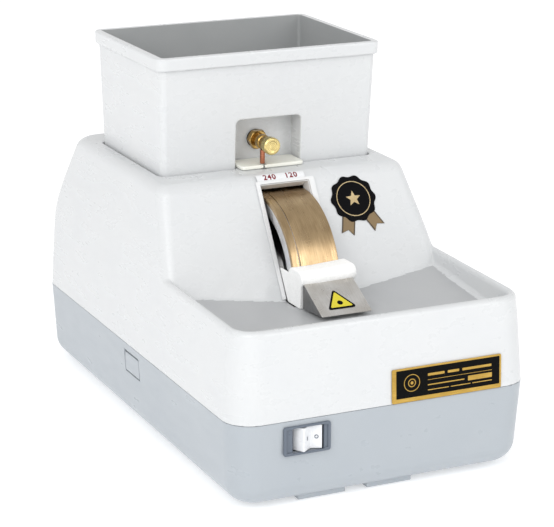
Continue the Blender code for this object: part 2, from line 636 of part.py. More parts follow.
# ---- front of the wheel ----
def wheel_front():
    slope_length = 1 / math.cos(SLOPE_ANGLE)
    low_up = BASIN_FLOOR_UP + 0.0012
    height = (0.1817 - low_up) * slope_length
    matrix = slope_matrix(0.0, low_up, GAP)
    outline = [(BEZEL_LEFT, 0.0), (BEZEL_RIGHT, 0.0), (BEZEL_RIGHT, height), (BEZEL_LEFT, height)]
    bezel = sheet("wheel_bezel", outline, 0.0012, matrix, WHITE)
    slot = sheet("bezel_window", [(SLOT_LEFT, -0.01), (SLOT_RIGHT, -0.01),
                                  (SLOT_RIGHT, height - 0.0022), (SLOT_LEFT, height - 0.0022)],
                 0.02, slope_matrix(0.0, low_up, -0.01), None)
    cut(bezel, slot)
    sheet("grit_label", [(-0.0225, 0.0003), (0.0158, 0.0003), (0.0158, 0.0041), (-0.0225, 0.0041)], 0.0003,
          slope_matrix(0.0, LABEL_UP, GAP), LABEL)
    sponge()
    guard()


def sponge():
    """Wet pad on the basin floor that wipes the wheel; it has a rolled lip and fits around the wheel."""
    floor = BASIN_FLOOR_UP + 0.0010
    behind = 0.0017 / math.cos(SLOPE_ANGLE)
    shoulder_up = 0.1268
    lip = (0.0975, 0.1260)
    lip_r = 0.0060
    outline = [(0.0953, floor), (0.0936, 0.1245)]
    outline += arc(lip, lip_r, 196, 90, 6)
    outline += [(0.1110, lip[1] + lip_r), (slope_back(shoulder_up) - behind, shoulder_up),
                (slope_back(floor) - behind, floor)]
    pad = prism_x("wheel_sponge", outline, -0.0214, 0.0228, SPONGE)
    cut(pad, cylinder("wheel_clearance", shaft_point((WHEEL_LEFT + WHEEL_RIGHT) / 2), (1, 0, 0),
                      WHEEL_R + 0.0004, WHEEL_RIGHT - WHEEL_LEFT + 0.0008, sides=64, cutter=True))


def guard():
    """Folded stainless splash plate with a triangular cheek on each side."""
    thick = GUARD_THICK
    top, low = GUARD_TOP, GUARD_LOW
    run = Vector((top[0] - low[0], top[1] - low[1])).normalized()
    drop = Vector((run.y, -run.x)) * thick
    outer = [low, top, (top[0], GUARD_FOOT_UP)]
    plate = prism_x("splash_plate", outer, -GUARD_HALF, GUARD_HALF, STAINLESS)
    hollow = [(low[0] + drop.x - 0.02 * run.x, low[1] + drop.y - 0.02 * run.y),
              (top[0] + drop.x + 0.01 * run.x, top[1] + drop.y + 0.01 * run.y),
              (top[0] + 0.02, low[1] - 0.02), (low[0] - 0.02, low[1] - 0.02)]
    cut(plate, prism_x("plate_hollow", hollow, thick - GUARD_HALF, GUARD_HALF - thick, cutter=True))
    centre = Vector(top).lerp(Vector(low), 0.64)
    lean = math.atan2(top[1] - low[1], top[0] - low[0])
    up_face = Vector((0, math.cos(lean), math.sin(lean)))
    out = Vector((0, -math.sin(lean), math.cos(lean)))
    rows = Matrix((Vector((1, 0, 0)), up_face, out)).transposed().to_4x4()
    matrix = Matrix.Translation(at(0.0003, *centre) + out * GAP) @ rows
    side = 0.0215
    corner = 0.0020
    outline = []
    for k in range(3):
        angle = math.radians(90 + 120 * k)
        tip = Vector((math.cos(angle), math.sin(angle))) * (side / math.sqrt(3) - 2 * corner)
        for step in range(4):
            turn = angle + math.radians(-60 + 40 * step)
            outline.append((tip.x + corner * math.cos(turn), tip.y + corner * math.sin(turn)))
    sheet("caution_label", outline, 0.0002, matrix, YELLOW)


# ---- water tank and tap ----
def tank_level(up, inset=0.0, corner=0.004):
    share = (up - TANK_BOTTOM_UP) / (TANK_TOP_UP - TANK_BOTTOM_UP)
    half = TANK_HALF_LOW + (TANK_HALF_TOP - TANK_HALF_LOW) * share - inset
    front = TANK_FRONT_LOW + (TANK_FRONT_TOP - TANK_FRONT_LOW) * share + inset
    back = TANK_BACK_LOW + (TANK_BACK_TOP - TANK_BACK_LOW) * share - inset
    return (up, half, front, back, max(corner - inset, 0.0012))


def recess(name, grow):
    """Pocket in the tank's front that the tap stands in, open below."""
    radius = RECESS_CORNER + grow
    half, top = RECESS_HALF + grow, RECESS_TOP_UP + grow
    points = [(-half, 0.15), (half, 0.15)]
    points += [(half - radius + radius * math.cos(a), top - radius + radius * math.sin(a))
               for a in (math.radians(30 * k) for k in range(4))]
    points += [(radius - half + radius * math.cos(a), top - radius + radius * math.sin(a))
               for a in (math.radians(90 + 30 * k) for k in range(4))]
    bm = bmesh.new()
    face = bm.faces.new([bm.verts.new(at(x, 0.17, up)) for x, up in points])
    extrude(bm, face, (0, RECESS_BACK + grow - 0.17, 0))
    return finish(bm, name, None, cutter=True)


def water_tank():
    rim_low = TANK_TOP_UP - TANK_RIM_HEIGHT
    low = tank_level(rim_low)
    levels = [tank_level(TANK_BOTTOM_UP), low]
    for up, out in ((rim_low + 0.0002, TANK_RIM_OUT), (TANK_TOP_UP - 0.0008, TANK_RIM_OUT),
                    (TANK_TOP_UP, TANK_RIM_OUT - 0.0008)):
        levels.append((up, *tank_level(up, -out)[1:]))
    tank = loft("water_tank", levels, UPPER, steps=3)
    cut(tank, recess("recess_outer", 0.0))
    floor_up = TANK_BOTTOM_UP + 0.003
    hollow = loft("tank_hollow", [tank_level(floor_up, TANK_WALL), tank_level(TANK_TOP_UP + 0.01, TANK_WALL)],
                  cutter=True, steps=3)
    cut(hollow, recess("recess_inner", TANK_WALL))
    cut(tank, hollow)
    drill(tank, "tap_hole", at(TAP_X, RECESS_BACK, TAP_UP), (0, 1, 0), 0.0042, 0.02, 20)


def tap():
    toward = (0, -1, 0)
    wall_in = RECESS_BACK + TANK_WALL
    ring("tap_washer", 0.0043, 0.0070, at(TAP_X, RECESS_BACK - GAP, TAP_UP), toward, 0.0012, RUBBER, 16)
    nut = cylinder("tap_nut", at(TAP_X, RECESS_BACK - 0.0038, TAP_UP), toward, 0.0078, 0.0040, BRASS, sides=6)
    drill(nut, "tap_nut_bore", at(TAP_X, RECESS_BACK - 0.0038, TAP_UP), toward, 0.0042, 0.02, 20)
    inside = at(TAP_X, wall_in + 0.0020, TAP_UP)
    back_nut = cylinder("tap_back_nut", inside, toward, 0.0072, 0.0032, BRASS, sides=6)
    drill(back_nut, "back_nut_bore", inside, toward, 0.0042, 0.02, 20)
    start = wall_in + 0.0060
    length = start - 0.1872
    bore = 0.0021
    thread, waist, collar = 0.0039, 0.0044, 0.0056
    nut_end = start - (RECESS_BACK - 0.0061)
    profile = [(bore, length), (collar - 0.0006, length), (collar, length - 0.0006), (collar, length - 0.0036),
               (waist, length - 0.0044), (waist, length - 0.0066), (collar, length - 0.0074),
               (collar, length - 0.0120), (waist, length - 0.0128), (waist, nut_end + 0.0002), (thread, nut_end),
               (thread, 0.0), (bore, 0.0)]
    body = turned("tap_body", profile, at(TAP_X, start, TAP_UP), toward, BRASS, 16, closed=True)
    spout_up = TAP_UP - 0.0040
    drill(body, "spout_socket", at(SPOUT_X, SPOUT_BACK, spout_up), UPWARD, 0.0021, 0.0060, 14)
    spout_top = spout_up - 0.0001
    spout_low = 0.1890
    ring("tap_spout", 0.0011, 0.00185, at(SPOUT_X, SPOUT_BACK, spout_low), UPWARD, spout_top - spout_low,
         COPPER, 12)
    needle = [(0.0, 0.0312), (0.0017, 0.0312), (0.0017, 0.0030), (0.0006, 0.0), (0.0, 0.0)]
    turned("tap_needle", needle, at(TAP_X, 0.2150, TAP_UP), toward, STAINLESS, 16)
    knob = [(0.0, 0.0078), (0.0052, 0.0078), (0.0065, 0.0068), (0.0065, 0.0012), (0.0058, 0.0004), (0.0046, 0.0),
            (0.0019, 0.0), (0.0019, 0.0034), (0.0, 0.0034)]
    turned("tap_knob", knob, at(TAP_X, 0.1869, TAP_UP), toward, BRASS, 20)


def drip_shelf():
    outline = rounded_outline(0.0252, 0.1868, RECESS_BACK - 0.0005, 0.003, 3)
    bm = bmesh.new()
    face = bm.faces.new([bm.verts.new(at(x + 0.0002, back, DECK_UP + GAP)) for x, back in outline])
    extrude(bm, face, (0, 0, 0.0028))
    shelf = finish(bm, "drip_shelf", CREAM)
    drill(shelf, "shelf_hole", at(SPOUT_X, SPOUT_BACK, DECK_UP), UPWARD, 0.0030, 0.03, 16)


# ---- switch, inlet and small panels ----
def switch():
    pocket_w, pocket_h = 0.0252, 0.0168
    front_here = front_face(SWITCH_UP)
    frame = box("switch_body", (SWITCH_X - SWITCH_W / 2, front_here - 0.0022, SWITCH_UP - SWITCH_H / 2),
                (SWITCH_X + SWITCH_W / 2, front_here - GAP - 0.0008, SWITCH_UP + SWITCH_H / 2), GREY)
    rear = box("switch_rear", (SWITCH_X - 0.0149, front_here - 0.0015, SWITCH_UP - 0.0089),
               (SWITCH_X + 0.0149, 0.030, SWITCH_UP + 0.0089), cutter=True)
    cut(frame, rear, "UNION")
    pocket = box("switch_pocket", (SWITCH_X - pocket_w / 2, -0.02, SWITCH_UP - pocket_h / 2),
                 (SWITCH_X + pocket_w / 2, 0.016, SWITCH_UP + pocket_h / 2), cutter=True)
    cut(frame, pocket)
    half, high, root = 0.0105, 0.0076, 0.0050
    tip, reach, valley = 0.0080, 0.0068, 0.0030
    outline = [(-tip, -reach), (-0.0008, -valley), (0.0008, -valley), (tip, -reach), (half, 0.0015),
               (half - 0.0015, root), (0.0030, root + 0.0030), (-0.0030, root + 0.0030), (0.0015 - half, root),
               (-half, 0.0015)]
    matrix = Matrix.Translation(at(SWITCH_X, 0.0045, SWITCH_UP - high)) @ Matrix.Rotation(ROCKER_TILT, 4, "Z")
    sheet("switch_rocker", outline, 2 * high, matrix, WHITE)


def inlet():
    panel = box("mains_inlet", (INLET_X - 0.0136, DEPTH - 0.024, INLET_UP - 0.0136),
                (INLET_X + 0.0136, DEPTH - 0.001, INLET_UP + 0.0136), BLACK)
    flange = box("inlet_flange", (INLET_X - 0.0170, DEPTH + GAP, INLET_UP - 0.0170),
                 (INLET_X + 0.0170, DEPTH + 0.0025, INLET_UP + 0.0170), cutter=True)
    neck = box("inlet_neck", (INLET_X - 0.0134, DEPTH - 0.002, INLET_UP - 0.0134),
               (INLET_X + 0.0134, DEPTH + 0.001, INLET_UP + 0.0134), cutter=True)
    cut(panel, neck, "UNION")
    cut(panel, flange, "UNION")
    socket = box("inlet_socket", (INLET_X - 0.0118, DEPTH - 0.016, INLET_UP - 0.0036),
                 (INLET_X + 0.0118, DEPTH + 0.01, INLET_UP + 0.0118), cutter=True)
    cut(panel, socket)
    for i, offset in enumerate((-0.007, 0.0, 0.007)):
        pin = box(f"inlet_pin_{i}", (INLET_X + offset - 0.001, DEPTH - 0.018, INLET_UP + 0.0021),
                  (INLET_X + offset + 0.001, DEPTH - 0.002, INLET_UP + 0.0061), cutter=True)
        cut(panel, pin, "UNION")
    slot = box("drawer_slot", (INLET_X - 0.0103, DEPTH - 0.020, INLET_UP - 0.0121),
               (INLET_X + 0.0103, DEPTH + 0.01, INLET_UP - 0.0057), cutter=True)
    cut(panel, slot)
    drawer = box("fuse_drawer", (INLET_X - 0.0099, DEPTH - 0.0190, INLET_UP - 0.0117),
                 (INLET_X + 0.0099, DEPTH + 0.0034, INLET_UP - 0.0061), GREY)
    cradle = cylinder("fuse_cradle", at(INLET_X, DEPTH - 0.010, INLET_UP - 0.0055), (0, 1, 0), 0.0028, 0.014,
                      sides=14, cutter=True)
    cut(drawer, cradle)


def side_hatch():
    """Snap-in cover in the left wall."""
    play = 0.0004
    middle_up = (HATCH_LOW + HATCH_HIGH) / 2
    out = side_half(middle_up)
    hatch = box("side_hatch", (-out - 0.0001, HATCH_FRONT + play, HATCH_LOW + play),
                (-out + WALL - 0.0002, HATCH_BACK - play, HATCH_HIGH - play), LOWER)
    for i, back in enumerate((HATCH_FRONT + 0.006, HATCH_BACK - 0.006)):
        clip = box(f"hatch_clip_{i}", (-out + 0.001, back - 0.002, middle_up - 0.005),
                   (-out + WALL + 0.005, back + 0.002, middle_up + 0.005), cutter=True)
        cut(hatch, clip, "UNION")


def badges():
    lean = math.atan(FRONT_LEAN / (RIM_UP - SEAM_UP))
    low_up = SEAM_UP + 0.0004
    width, height = NAMEPLATE_SIZE
    up_face = Vector((0, math.sin(lean), math.cos(lean)))
    out = Vector((0, -math.cos(lean), math.sin(lean)))
    rows = Matrix((Vector((1, 0, 0)), up_face, out)).transposed().to_4x4()
    matrix = Matrix.Translation(at(NAMEPLATE_LEFT, front_face(low_up), low_up) + out * GAP) @ rows
    sheet("nameplate", [(0, 0), (width, 0), (width, height), (0, height)], 0.0008, matrix, PLATE)
    outline = []
    lobes = 10
    for step in range(48):
        angle = 2 * math.pi * step / 48
        edge = BADGE_R + 0.0008 * math.cos(lobes * angle)
        outline.append((edge * math.cos(angle), edge * math.sin(angle)))
    sheet("award_badge", outline, 0.0004, slope_matrix(*BADGE_PLACE, GAP), PLATE)


def electrics():
    turned("capacitor", [(0.0, 0.050), (0.0140, 0.050), (0.0150, 0.049), (0.0150, 0.0), (0.0, 0.0)],
           at(-0.085, 0.262, 0.0280), (0, 1, 0), ALUMINIUM, 20)
    clip_r = 0.0153
    clip = prism_x("capacitor_clip", [(0.280, 0.0113), (0.290, 0.0113), (0.290, 0.0460), (0.280, 0.0460)],
                   -0.1015, -0.0680, STEEL)
    drill(clip, "clip_bore", at(-0.085, 0.285, 0.0280), (0, 1, 0), clip_r, 0.03, 20)
    block = box("terminal_block", (0.020, 0.265, 0.0113), (0.075, 0.287, 0.0253), WHITE)
    for i in range(5):
        x = 0.0255 + 0.011 * i
        drill(block, f"terminal_{i}", at(x, 0.276, 0.0253), UPWARD, 0.0028, 0.012, 12)


lower_housing()
upper_housing()
feet()
housing_screws()
base_plate()
motor()
wheel()
wheel_chamber()
drain()
wheel_front()
water_tank()
tap()
drip_shelf()
switch()
inlet()
side_hatch()
badges()
electrics()
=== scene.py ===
"""Looks of the optician's hand edger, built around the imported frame.

Places follow the part's own frame: metres, +X right, +Y back, +Z up. In the shape functions a place is
(x, back, up), measured back from the front face and up from the underside of the case.
"""

import math

import bmesh
import bpy
import numpy as np
from mathutils import Matrix, Vector


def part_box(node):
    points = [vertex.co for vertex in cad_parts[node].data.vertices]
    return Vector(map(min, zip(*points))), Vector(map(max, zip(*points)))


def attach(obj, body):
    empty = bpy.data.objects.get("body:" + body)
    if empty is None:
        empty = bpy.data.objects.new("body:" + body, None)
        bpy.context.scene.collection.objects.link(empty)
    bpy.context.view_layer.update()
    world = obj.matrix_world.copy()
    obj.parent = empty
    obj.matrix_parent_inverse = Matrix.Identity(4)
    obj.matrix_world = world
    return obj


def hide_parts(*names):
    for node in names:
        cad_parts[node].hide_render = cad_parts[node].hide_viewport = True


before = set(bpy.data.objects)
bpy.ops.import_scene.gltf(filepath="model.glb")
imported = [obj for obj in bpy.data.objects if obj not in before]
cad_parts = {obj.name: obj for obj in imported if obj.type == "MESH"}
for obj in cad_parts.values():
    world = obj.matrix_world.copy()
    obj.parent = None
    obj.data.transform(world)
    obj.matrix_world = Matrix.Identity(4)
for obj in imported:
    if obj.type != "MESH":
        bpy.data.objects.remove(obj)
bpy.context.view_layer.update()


def node_box(node):
    """Corners of a CAD node as (x, back, up)."""
    low, high = (Vector(corner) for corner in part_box(node))
    return low - ORIGIN, high - ORIGIN


# ---- driving dimensions, from the frame where it holds them ----
UNDERSIDE = 0.003                       # height of the case's underside above the floor
ORIGIN = Vector((0.0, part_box("upper_housing")[0][1], UNDERSIDE))
UPPER_LOW, UPPER_HIGH = node_box("upper_housing")
LOWER_LOW, LOWER_HIGH = node_box("lower_housing")
TANK_LOW, TANK_HIGH = node_box("water_tank")
SPONGE_LOW, SPONGE_HIGH = node_box("wheel_sponge")
DEPTH = UPPER_HIGH.y
DECK_UP = UPPER_HIGH.z
SEAM_UP = (UPPER_LOW.z + LOWER_HIGH.z) / 2
SEAM_GAP = UPPER_LOW.z - LOWER_HIGH.z
WALL = 0.003

# outside of the case
RIM_UP = 0.1244                         # front rim of the basin
RIM_RISE = 0.0023                       # the side rims rise by this much towards the hood
HALF_BOTTOM = 0.1104                    # half widths at the underside, seam, rim and deck
HALF_SEAM = UPPER_HIGH.x
HALF_RIM = 0.1099
HALF_DECK = 0.0985
PLAN_CORNER = 0.0203
BOTTOM_ROUND = 0.0145
BOTTOM_LEAN = 0.003                     # the front face leans back by this much at the underside
FRONT_LEAN = 0.0025                     # and by this much at the rim
FRONT_TILT = math.atan(FRONT_LEAN / (RIM_UP - SEAM_UP))
RIM_ROUND = 0.0036
HOOD_ROUND = 0.009
DECK_ROUND = 0.0065
BACK_BEND_UP = 0.118                    # the back face curves forward above this height
SLOPE_FOOT = (0.1173, 0.1048)           # (back, up) where the sloping face meets the basin floor
SLOPE_RATE = 0.6245                     # back per up along the sloping face
SLOPE_ANGLE = math.atan(SLOPE_RATE)
SCREW_POSTS = [(side * 0.088, back) for side in (-1, 1) for back in (0.043, 0.343)]

# basin
BASIN_HALF = 0.1022
BASIN_FRONT = 0.012
BASIN_FLOOR_UP = 0.1044
BASIN_CORNER_UP = 0.1149
FLOOR_FRONT = (0.1012, BASIN_FRONT, 0.105)
FLOOR_FOLD_X = 0.022                    # the floor's facets start this far out at the sloping face
FLOOR_FOLD = 0.0008                     # softness of the folds in the basin floor

# wheel and the slot it stands in
AXLE = (0.169, 0.1096)                  # (back, up) of the wheel's axis
WHEEL_R = 0.0628
WHEEL_LEFT = -0.0196
WHEEL_RIGHT = 0.0169
FINE_RIGHT = -0.0138                    # right edge of the narrow fine ring
RING_GROOVE = 0.0006
RING_THICK = 0.0033
SHAFT_R = 0.006
SLOT_LEFT = -0.0216
SLOT_RIGHT = 0.0181
WHEEL_SLOT = ((SLOT_LEFT, 0.1025, 0.09), (SLOT_RIGHT, 0.1755, 0.1798))
BEZEL_LEFT = -0.0245
BEZEL_RIGHT = 0.0223
BEZEL_TOP_UP = 0.1817

# sponge and splash plate, as (back, up) where two numbers stand together
LIP = (0.0975, 0.1260)                  # middle of the sponge's rolled lip
LIP_R = 0.0060
SHOULDER_UP = 0.1268
GUARD_TOP = (0.0928, 0.1243)            # upper and lower edges of the splash plate
GUARD_LOW = (0.0620, 0.1084)
GUARD_FOOT_UP = 0.1056                  # its cheeks reach down to here at the back
GUARD_HALF = 0.0198
GUARD_THICK = 0.0008
GUARD_LEAN = math.atan2(GUARD_TOP[0] - GUARD_LOW[0], GUARD_TOP[1] - GUARD_LOW[1])

# water tank, its well in the hood, and the tap
HOOD_CEILING_UP = 0.1767
WELL_GAP = 0.0016
SHELF_LAND = (0.0256, 0.2107)           # half width and back edge of the land under the drip shelf
TANK_FOOT_HALF = 0.0848
TANK_FOOT_FRONT = 0.1966
TANK_FOOT_BACK = 0.3201
TANK_MOUTH_HALF = 0.0869
TANK_MOUTH_FRONT = 0.1906
TANK_MOUTH_BACK = 0.3225
TANK_WALL = 0.0025
TANK_RIM_HEIGHT = 0.0095
TANK_RIM_OUT = 0.0028
RECESS_HALF = 0.0262
RECESS_TOP_UP = 0.2222
RECESS_CORNER = 0.004
RECESS_BACK = 0.2113
TAP_X = -0.0038
TAP_UP = 0.2036
SPOUT_X = -0.0072
SPOUT_BACK = 0.1901

# hatch, switch, drain, mains inlet and feet
HATCH_LOW = (0.1758, 0.0377)            # (back, up)
HATCH_HIGH = (0.2053, 0.0546)
HATCH_PLAY = 0.0011
SWITCH_X = -0.0607
SWITCH_UP = 0.0465
SWITCH_HALF = (0.0175, 0.0104)
POCKET_SIDES = (-0.0108, 0.0127)        # left and right of the rocker's pocket, from the switch's middle
POCKET_HALF_UP = 0.0088
ROCKER_TILT = math.radians(9.0)
SPIGOT_X = -0.006
SPIGOT_UP = 0.022
INLET_X = 0.058
INLET_UP = 0.034
INLET_HALF = 0.0139
PAD_SIDES = ((-0.061, -0.0255), (-0.0085, 0.026))
FOOT_PLACES = [(f"foot_{end}_{side_word}", side * 0.066, back)
               for side, side_word in ((-1, "left"), (1, "right"))
               for end, back in (("front", 0.055), ("rear", 0.320))]

# labels
LABEL_UP = 0.1818
LABEL_HEIGHT = 0.0056
LABEL_THICK = 0.00025
BADGE_PLACE = (0.0502, 0.1641)          # (x, up) on the sloping face
BADGE_R = 0.0176
NAMEPLATE_LEFT = 0.0032
NAMEPLATE_SIZE = (0.0855, 0.0243)
PROUD = 0.0003                          # labels stand this far off the case

# camera and lights
AIM = Vector((-0.0050, -0.02885, 0.1200))
CAMERA_DISTANCE = 1.5835
CAMERA_AZIMUTH = math.radians(-24.7)
CAMERA_ELEVATION = math.radians(16.4)
CAMERA_LENS = 138.66
WORLD_LIGHT = ((0.15, 0.98), (0.85, 0.66))   # (height in the sky, brightness) at the horizon and overhead
# name, azimuth and elevation in degrees, distance, width and height in metres, power in watts
LIGHTS = [("key", -50.0, 32.0, 2.6, 1.6, 1.6, 22.0), ("strip", 26.0, 27.0, 2.4, 0.5, 1.3, 7.5),
          ("top", -15.0, 62.0, 2.6, 1.2, 1.2, 7.0)]

# directions
ACROSS = (1, 0, 0)
TOWARD = (0, -1, 0)
AWAY = (0, 1, 0)
UPWARD = (0, 0, 1)


# ---- shapes as distance functions: negative inside ----
def round_max(a, b, radius):
    """What is inside both, with the edge where they meet rounded."""
    flat = np.minimum(np.maximum(a, b), -radius)
    return flat + np.hypot(np.maximum(a + radius, 0.0), np.maximum(b + radius, 0.0))


def round_min(a, b, radius):
    """What is inside either, with the inner corner where they meet filled."""
    return -round_max(-a, -b, radius)


def soft_min(a, b, reach):
    """The lesser of two values, blended where they differ by less than reach."""
    overlap = np.maximum(reach - np.abs(a - b), 0.0) / reach
    return np.minimum(a, b) - overlap * overlap * reach / 4


def between(value, low, high):
    return np.maximum(low - value, value - high)


def plan_distance(x, back, half, near, far, corner):
    """A rounded rectangle seen from above, endless upwards."""
    across = np.abs(x) - half + corner
    along = np.abs(back - (near + far) / 2) - (far - near) / 2 + corner
    outside = np.hypot(np.maximum(across, 0.0), np.maximum(along, 0.0))
    return outside + np.minimum(np.maximum(across, along), 0.0) - corner


def block_distance(x, back, up, low, high):
    """A block between two (x, back, up) corners."""
    beside = np.maximum(between(x, low[0], high[0]), between(back, low[1], high[1]))
    return np.maximum(beside, between(up, low[2], high[2]))


def field_gradient(field, points, step=2e-5):
    """Slope of a field at points, by central differences."""
    gradient = np.empty_like(points)
    for axis in range(3):
        offset = np.zeros(3)
        offset[axis] = step
        ahead, behind = points + offset, points - offset
        gradient[:, axis] = (field(*ahead.T) - field(*behind.T)) / (2 * step)
    return gradient


def field_faces(field, low, high, cell):
    """Vertices and outward quads of the surface where a field is zero, with its edges kept sharp."""
    axes = [np.arange(a - 1.5 * cell, b + 2.5 * cell, cell) for a, b in zip(low, high)]
    grid = np.meshgrid(*axes, indexing="ij", sparse=True)
    values = np.broadcast_to(field(*grid), tuple(len(axis) for axis in axes))
    inside = values < 0
    count = np.zeros(tuple(n - 1 for n in values.shape), np.int8)
    for i in (0, 1):
        for j in (0, 1):
            for k in (0, 1):
                count += inside[i:count.shape[0] + i, j:count.shape[1] + j, k:count.shape[2] + k]
    cells = np.argwhere((count > 0) & (count < 8))
    index = np.full(count.shape, -1)
    index[tuple(cells.T)] = np.arange(len(cells))
    start = np.array([axis[0] for axis in axes])

    # where the surface crosses each grid edge, and which four cells share that edge
    faces, edge_points, edge_cells = [], [], []
    for d in range(3):
        u, v = np.eye(3, dtype=int)[(d + 1) % 3], np.eye(3, dtype=int)[(d + 2) % 3]
        here = [slice(1, -1)] * 3
        ahead = [slice(1, -1)] * 3
        here[d], ahead[d] = slice(0, -1), slice(1, None)
        crossing = np.argwhere(inside[tuple(here)] != inside[tuple(ahead)])
        crossing += np.array([0 if axis == d else 1 for axis in range(3)])
        step = np.eye(3, dtype=int)[d]
        first, second = values[tuple(crossing.T)], values[tuple((crossing + step).T)]
        share = (first / (first - second))[:, None]
        sharing = np.stack([index[tuple((crossing + o).T)] for o in (-u - v, -v, 0 * u, -u)], axis=1)
        faces.append(np.where(first[:, None] < 0, sharing, sharing[:, ::-1]))
        edge_points.append(start + (crossing + share * step) * cell)
        edge_cells.append(sharing)
    faces = np.concatenate(faces)
    edge_points = np.concatenate(edge_points)
    edge_cells = np.concatenate(edge_cells)

    # each cell's vertex is the point nearest to all its tangent planes
    normals = field_gradient(field, edge_points)
    normals /= np.linalg.norm(normals, axis=1, keepdims=True)

    def gather(values):
        """Sums each crossing's value over the four cells round it."""
        return sum(np.bincount(edge_cells[:, k], values, len(cells)) for k in range(4))

    middle = np.stack([gather(edge_points[:, a]) for a in range(3)], axis=1)
    middle /= gather(np.ones(len(edge_points)))[:, None]
    matrix = np.stack([gather(normals[:, a] * normals[:, b]) for a in range(3) for b in range(3)], axis=1)
    matrix = matrix.reshape(-1, 3, 3) + np.eye(3) * 0.06
    vector = np.zeros((len(cells), 3))
    for k in range(4):
        owner = edge_cells[:, k]
        reach = np.einsum("ij,ij->i", normals, edge_points - middle[owner])
        for a in range(3):
            vector[:, a] += np.bincount(owner, normals[:, a] * reach, len(cells))
    move = np.linalg.solve(matrix, vector[:, :, None])[:, :, 0]
    centre = start + (cells + 0.5) * cell
    points = np.clip(middle + move, centre - 0.55 * cell, centre + 0.55 * cell)
    return points, faces


# ---- objects and meshes ----
def linked(name, data):
    """A new object in the scene, with the given data."""
    obj = bpy.data.objects.new(name, data)
    bpy.context.scene.collection.objects.link(obj)
    return obj


def mesh_object(name, points, faces, materials):
    mesh = bpy.data.meshes.new(name)
    mesh.from_pydata(points, [], faces)
    mesh.update()
    for mat in materials:
        mesh.materials.append(mat)
    return linked(name, mesh)


def evaluated_mesh(obj):
    """The mesh that an object's modifiers, curve or text make."""
    graph = bpy.context.evaluated_depsgraph_get()
    return bpy.data.meshes.new_from_object(obj.evaluated_get(graph), depsgraph=graph)


def apply_modifiers(obj):
    """Replaces an object's mesh with what its modifiers make of it."""
    mesh = evaluated_mesh(obj)
    obj.modifiers.clear()
    old, obj.data = obj.data, mesh
    bpy.data.meshes.remove(old)
    mesh.name = obj.name


def bevel(obj, name, width, segments, sharp_deg):
    """Will round the edges that are sharper than an angle."""
    modifier = obj.modifiers.new(name, "BEVEL")
    modifier.width = width
    modifier.segments = segments
    modifier.limit_method = "ANGLE"
    modifier.angle_limit = math.radians(sharp_deg)


def clean(mesh, dissolve=False):
    """Merges doubled points, drops faces without area when asked, and turns the faces outwards."""
    bm = bmesh.new()
    bm.from_mesh(mesh)
    bmesh.ops.remove_doubles(bm, verts=bm.verts, dist=1e-6)
    if dissolve:
        bmesh.ops.dissolve_degenerate(bm, dist=1e-7, edges=bm.edges)
    bmesh.ops.recalc_face_normals(bm, faces=bm.faces)
    bm.to_mesh(mesh)
    bm.free()


def shade(obj, sharp_deg=32.0):
    """Smooth shading between edges sharper than an angle, weighted by face area."""
    obj.data.shade_smooth()
    obj.data.set_sharp_from_angle(angle=math.radians(sharp_deg))
    weighted = obj.modifiers.new("weighted", "WEIGHTED_NORMAL")
    weighted.keep_sharp = True


def follow_field(obj, field):
    """Shades a mesh by the slope of its field, so that round faces stay smooth and creases sharp."""
    mesh = obj.data
    mesh.shade_smooth()
    origin = np.array(ORIGIN)
    owner = np.array([loop.vertex_index for loop in mesh.loops])
    sides = [face.loop_total for face in mesh.polygons]
    places = np.array([vert.co for vert in mesh.vertices]) - origin
    middles = np.repeat([face.center for face in mesh.polygons], sides, axis=0)
    corners = places[owner]
    at_corner = field_gradient(field, places)[owner]
    in_face = field_gradient(field, corners + 0.15 * (middles - origin - corners))
    at_corner /= np.linalg.norm(at_corner, axis=1, keepdims=True)
    in_face /= np.linalg.norm(in_face, axis=1, keepdims=True)
    shared = np.sum(at_corner * in_face, axis=1) > 0.95
    mesh.normals_split_custom_set(np.where(shared[:, None], at_corner, in_face))


def solid_from_field(name, field, low, high, cell, keep, materials):
    """A closed smooth solid from a field in (x, back, up), inside a box, thinned to a share of its faces."""
    points, faces = field_faces(field, low, high, cell)
    obj = mesh_object(name, np.clip(points, low, high) + np.array(ORIGIN), faces, materials)
    thin = obj.modifiers.new("thin", "DECIMATE")
    thin.ratio = keep
    apply_modifiers(obj)
    follow_field(obj, field)
    return obj


# ---- outlines, turned and extruded pieces ----
def fillet(points, radius, steps=3, closed=True):
    """Rounds the corners of an outline."""
    rounded = []
    for i, point in enumerate(points):
        here = Vector(point)
        if not closed and i in (0, len(points) - 1):
            rounded.append(here)
            continue
        before, after = Vector(points[i - 1]) - here, Vector(points[(i + 1) % len(points)]) - here
        reach = min(radius, 0.45 * before.length, 0.45 * after.length)
        start, end = here + before.normalized() * reach, here + after.normalized() * reach
        for step in range(steps + 1):
            share = step / steps
            rounded.append(start.lerp(here, share).lerp(here.lerp(end, share), share))
    return rounded


def around(count, radius_at, centre=(0.0, 0.0), start_deg=0.0):
    """Points at even angles round a centre; radius_at gives the radius from a point's angle and number."""
    points = []
    for k in range(count):
        angle = math.radians(start_deg) + 2 * math.pi * k / count
        radius = radius_at(angle, k)
        points.append((centre[0] + radius * math.cos(angle), centre[1] + radius * math.sin(angle)))
    return points


def circle(centre, radius, steps=48):
    return around(steps, lambda angle, k: radius, centre)


def rectangle(low, high, corner=0.0):
    corners = [(low[0], low[1]), (high[0], low[1]), (high[0], high[1]), (low[0], high[1])]
    return fillet(corners, corner, 4) if corner else corners


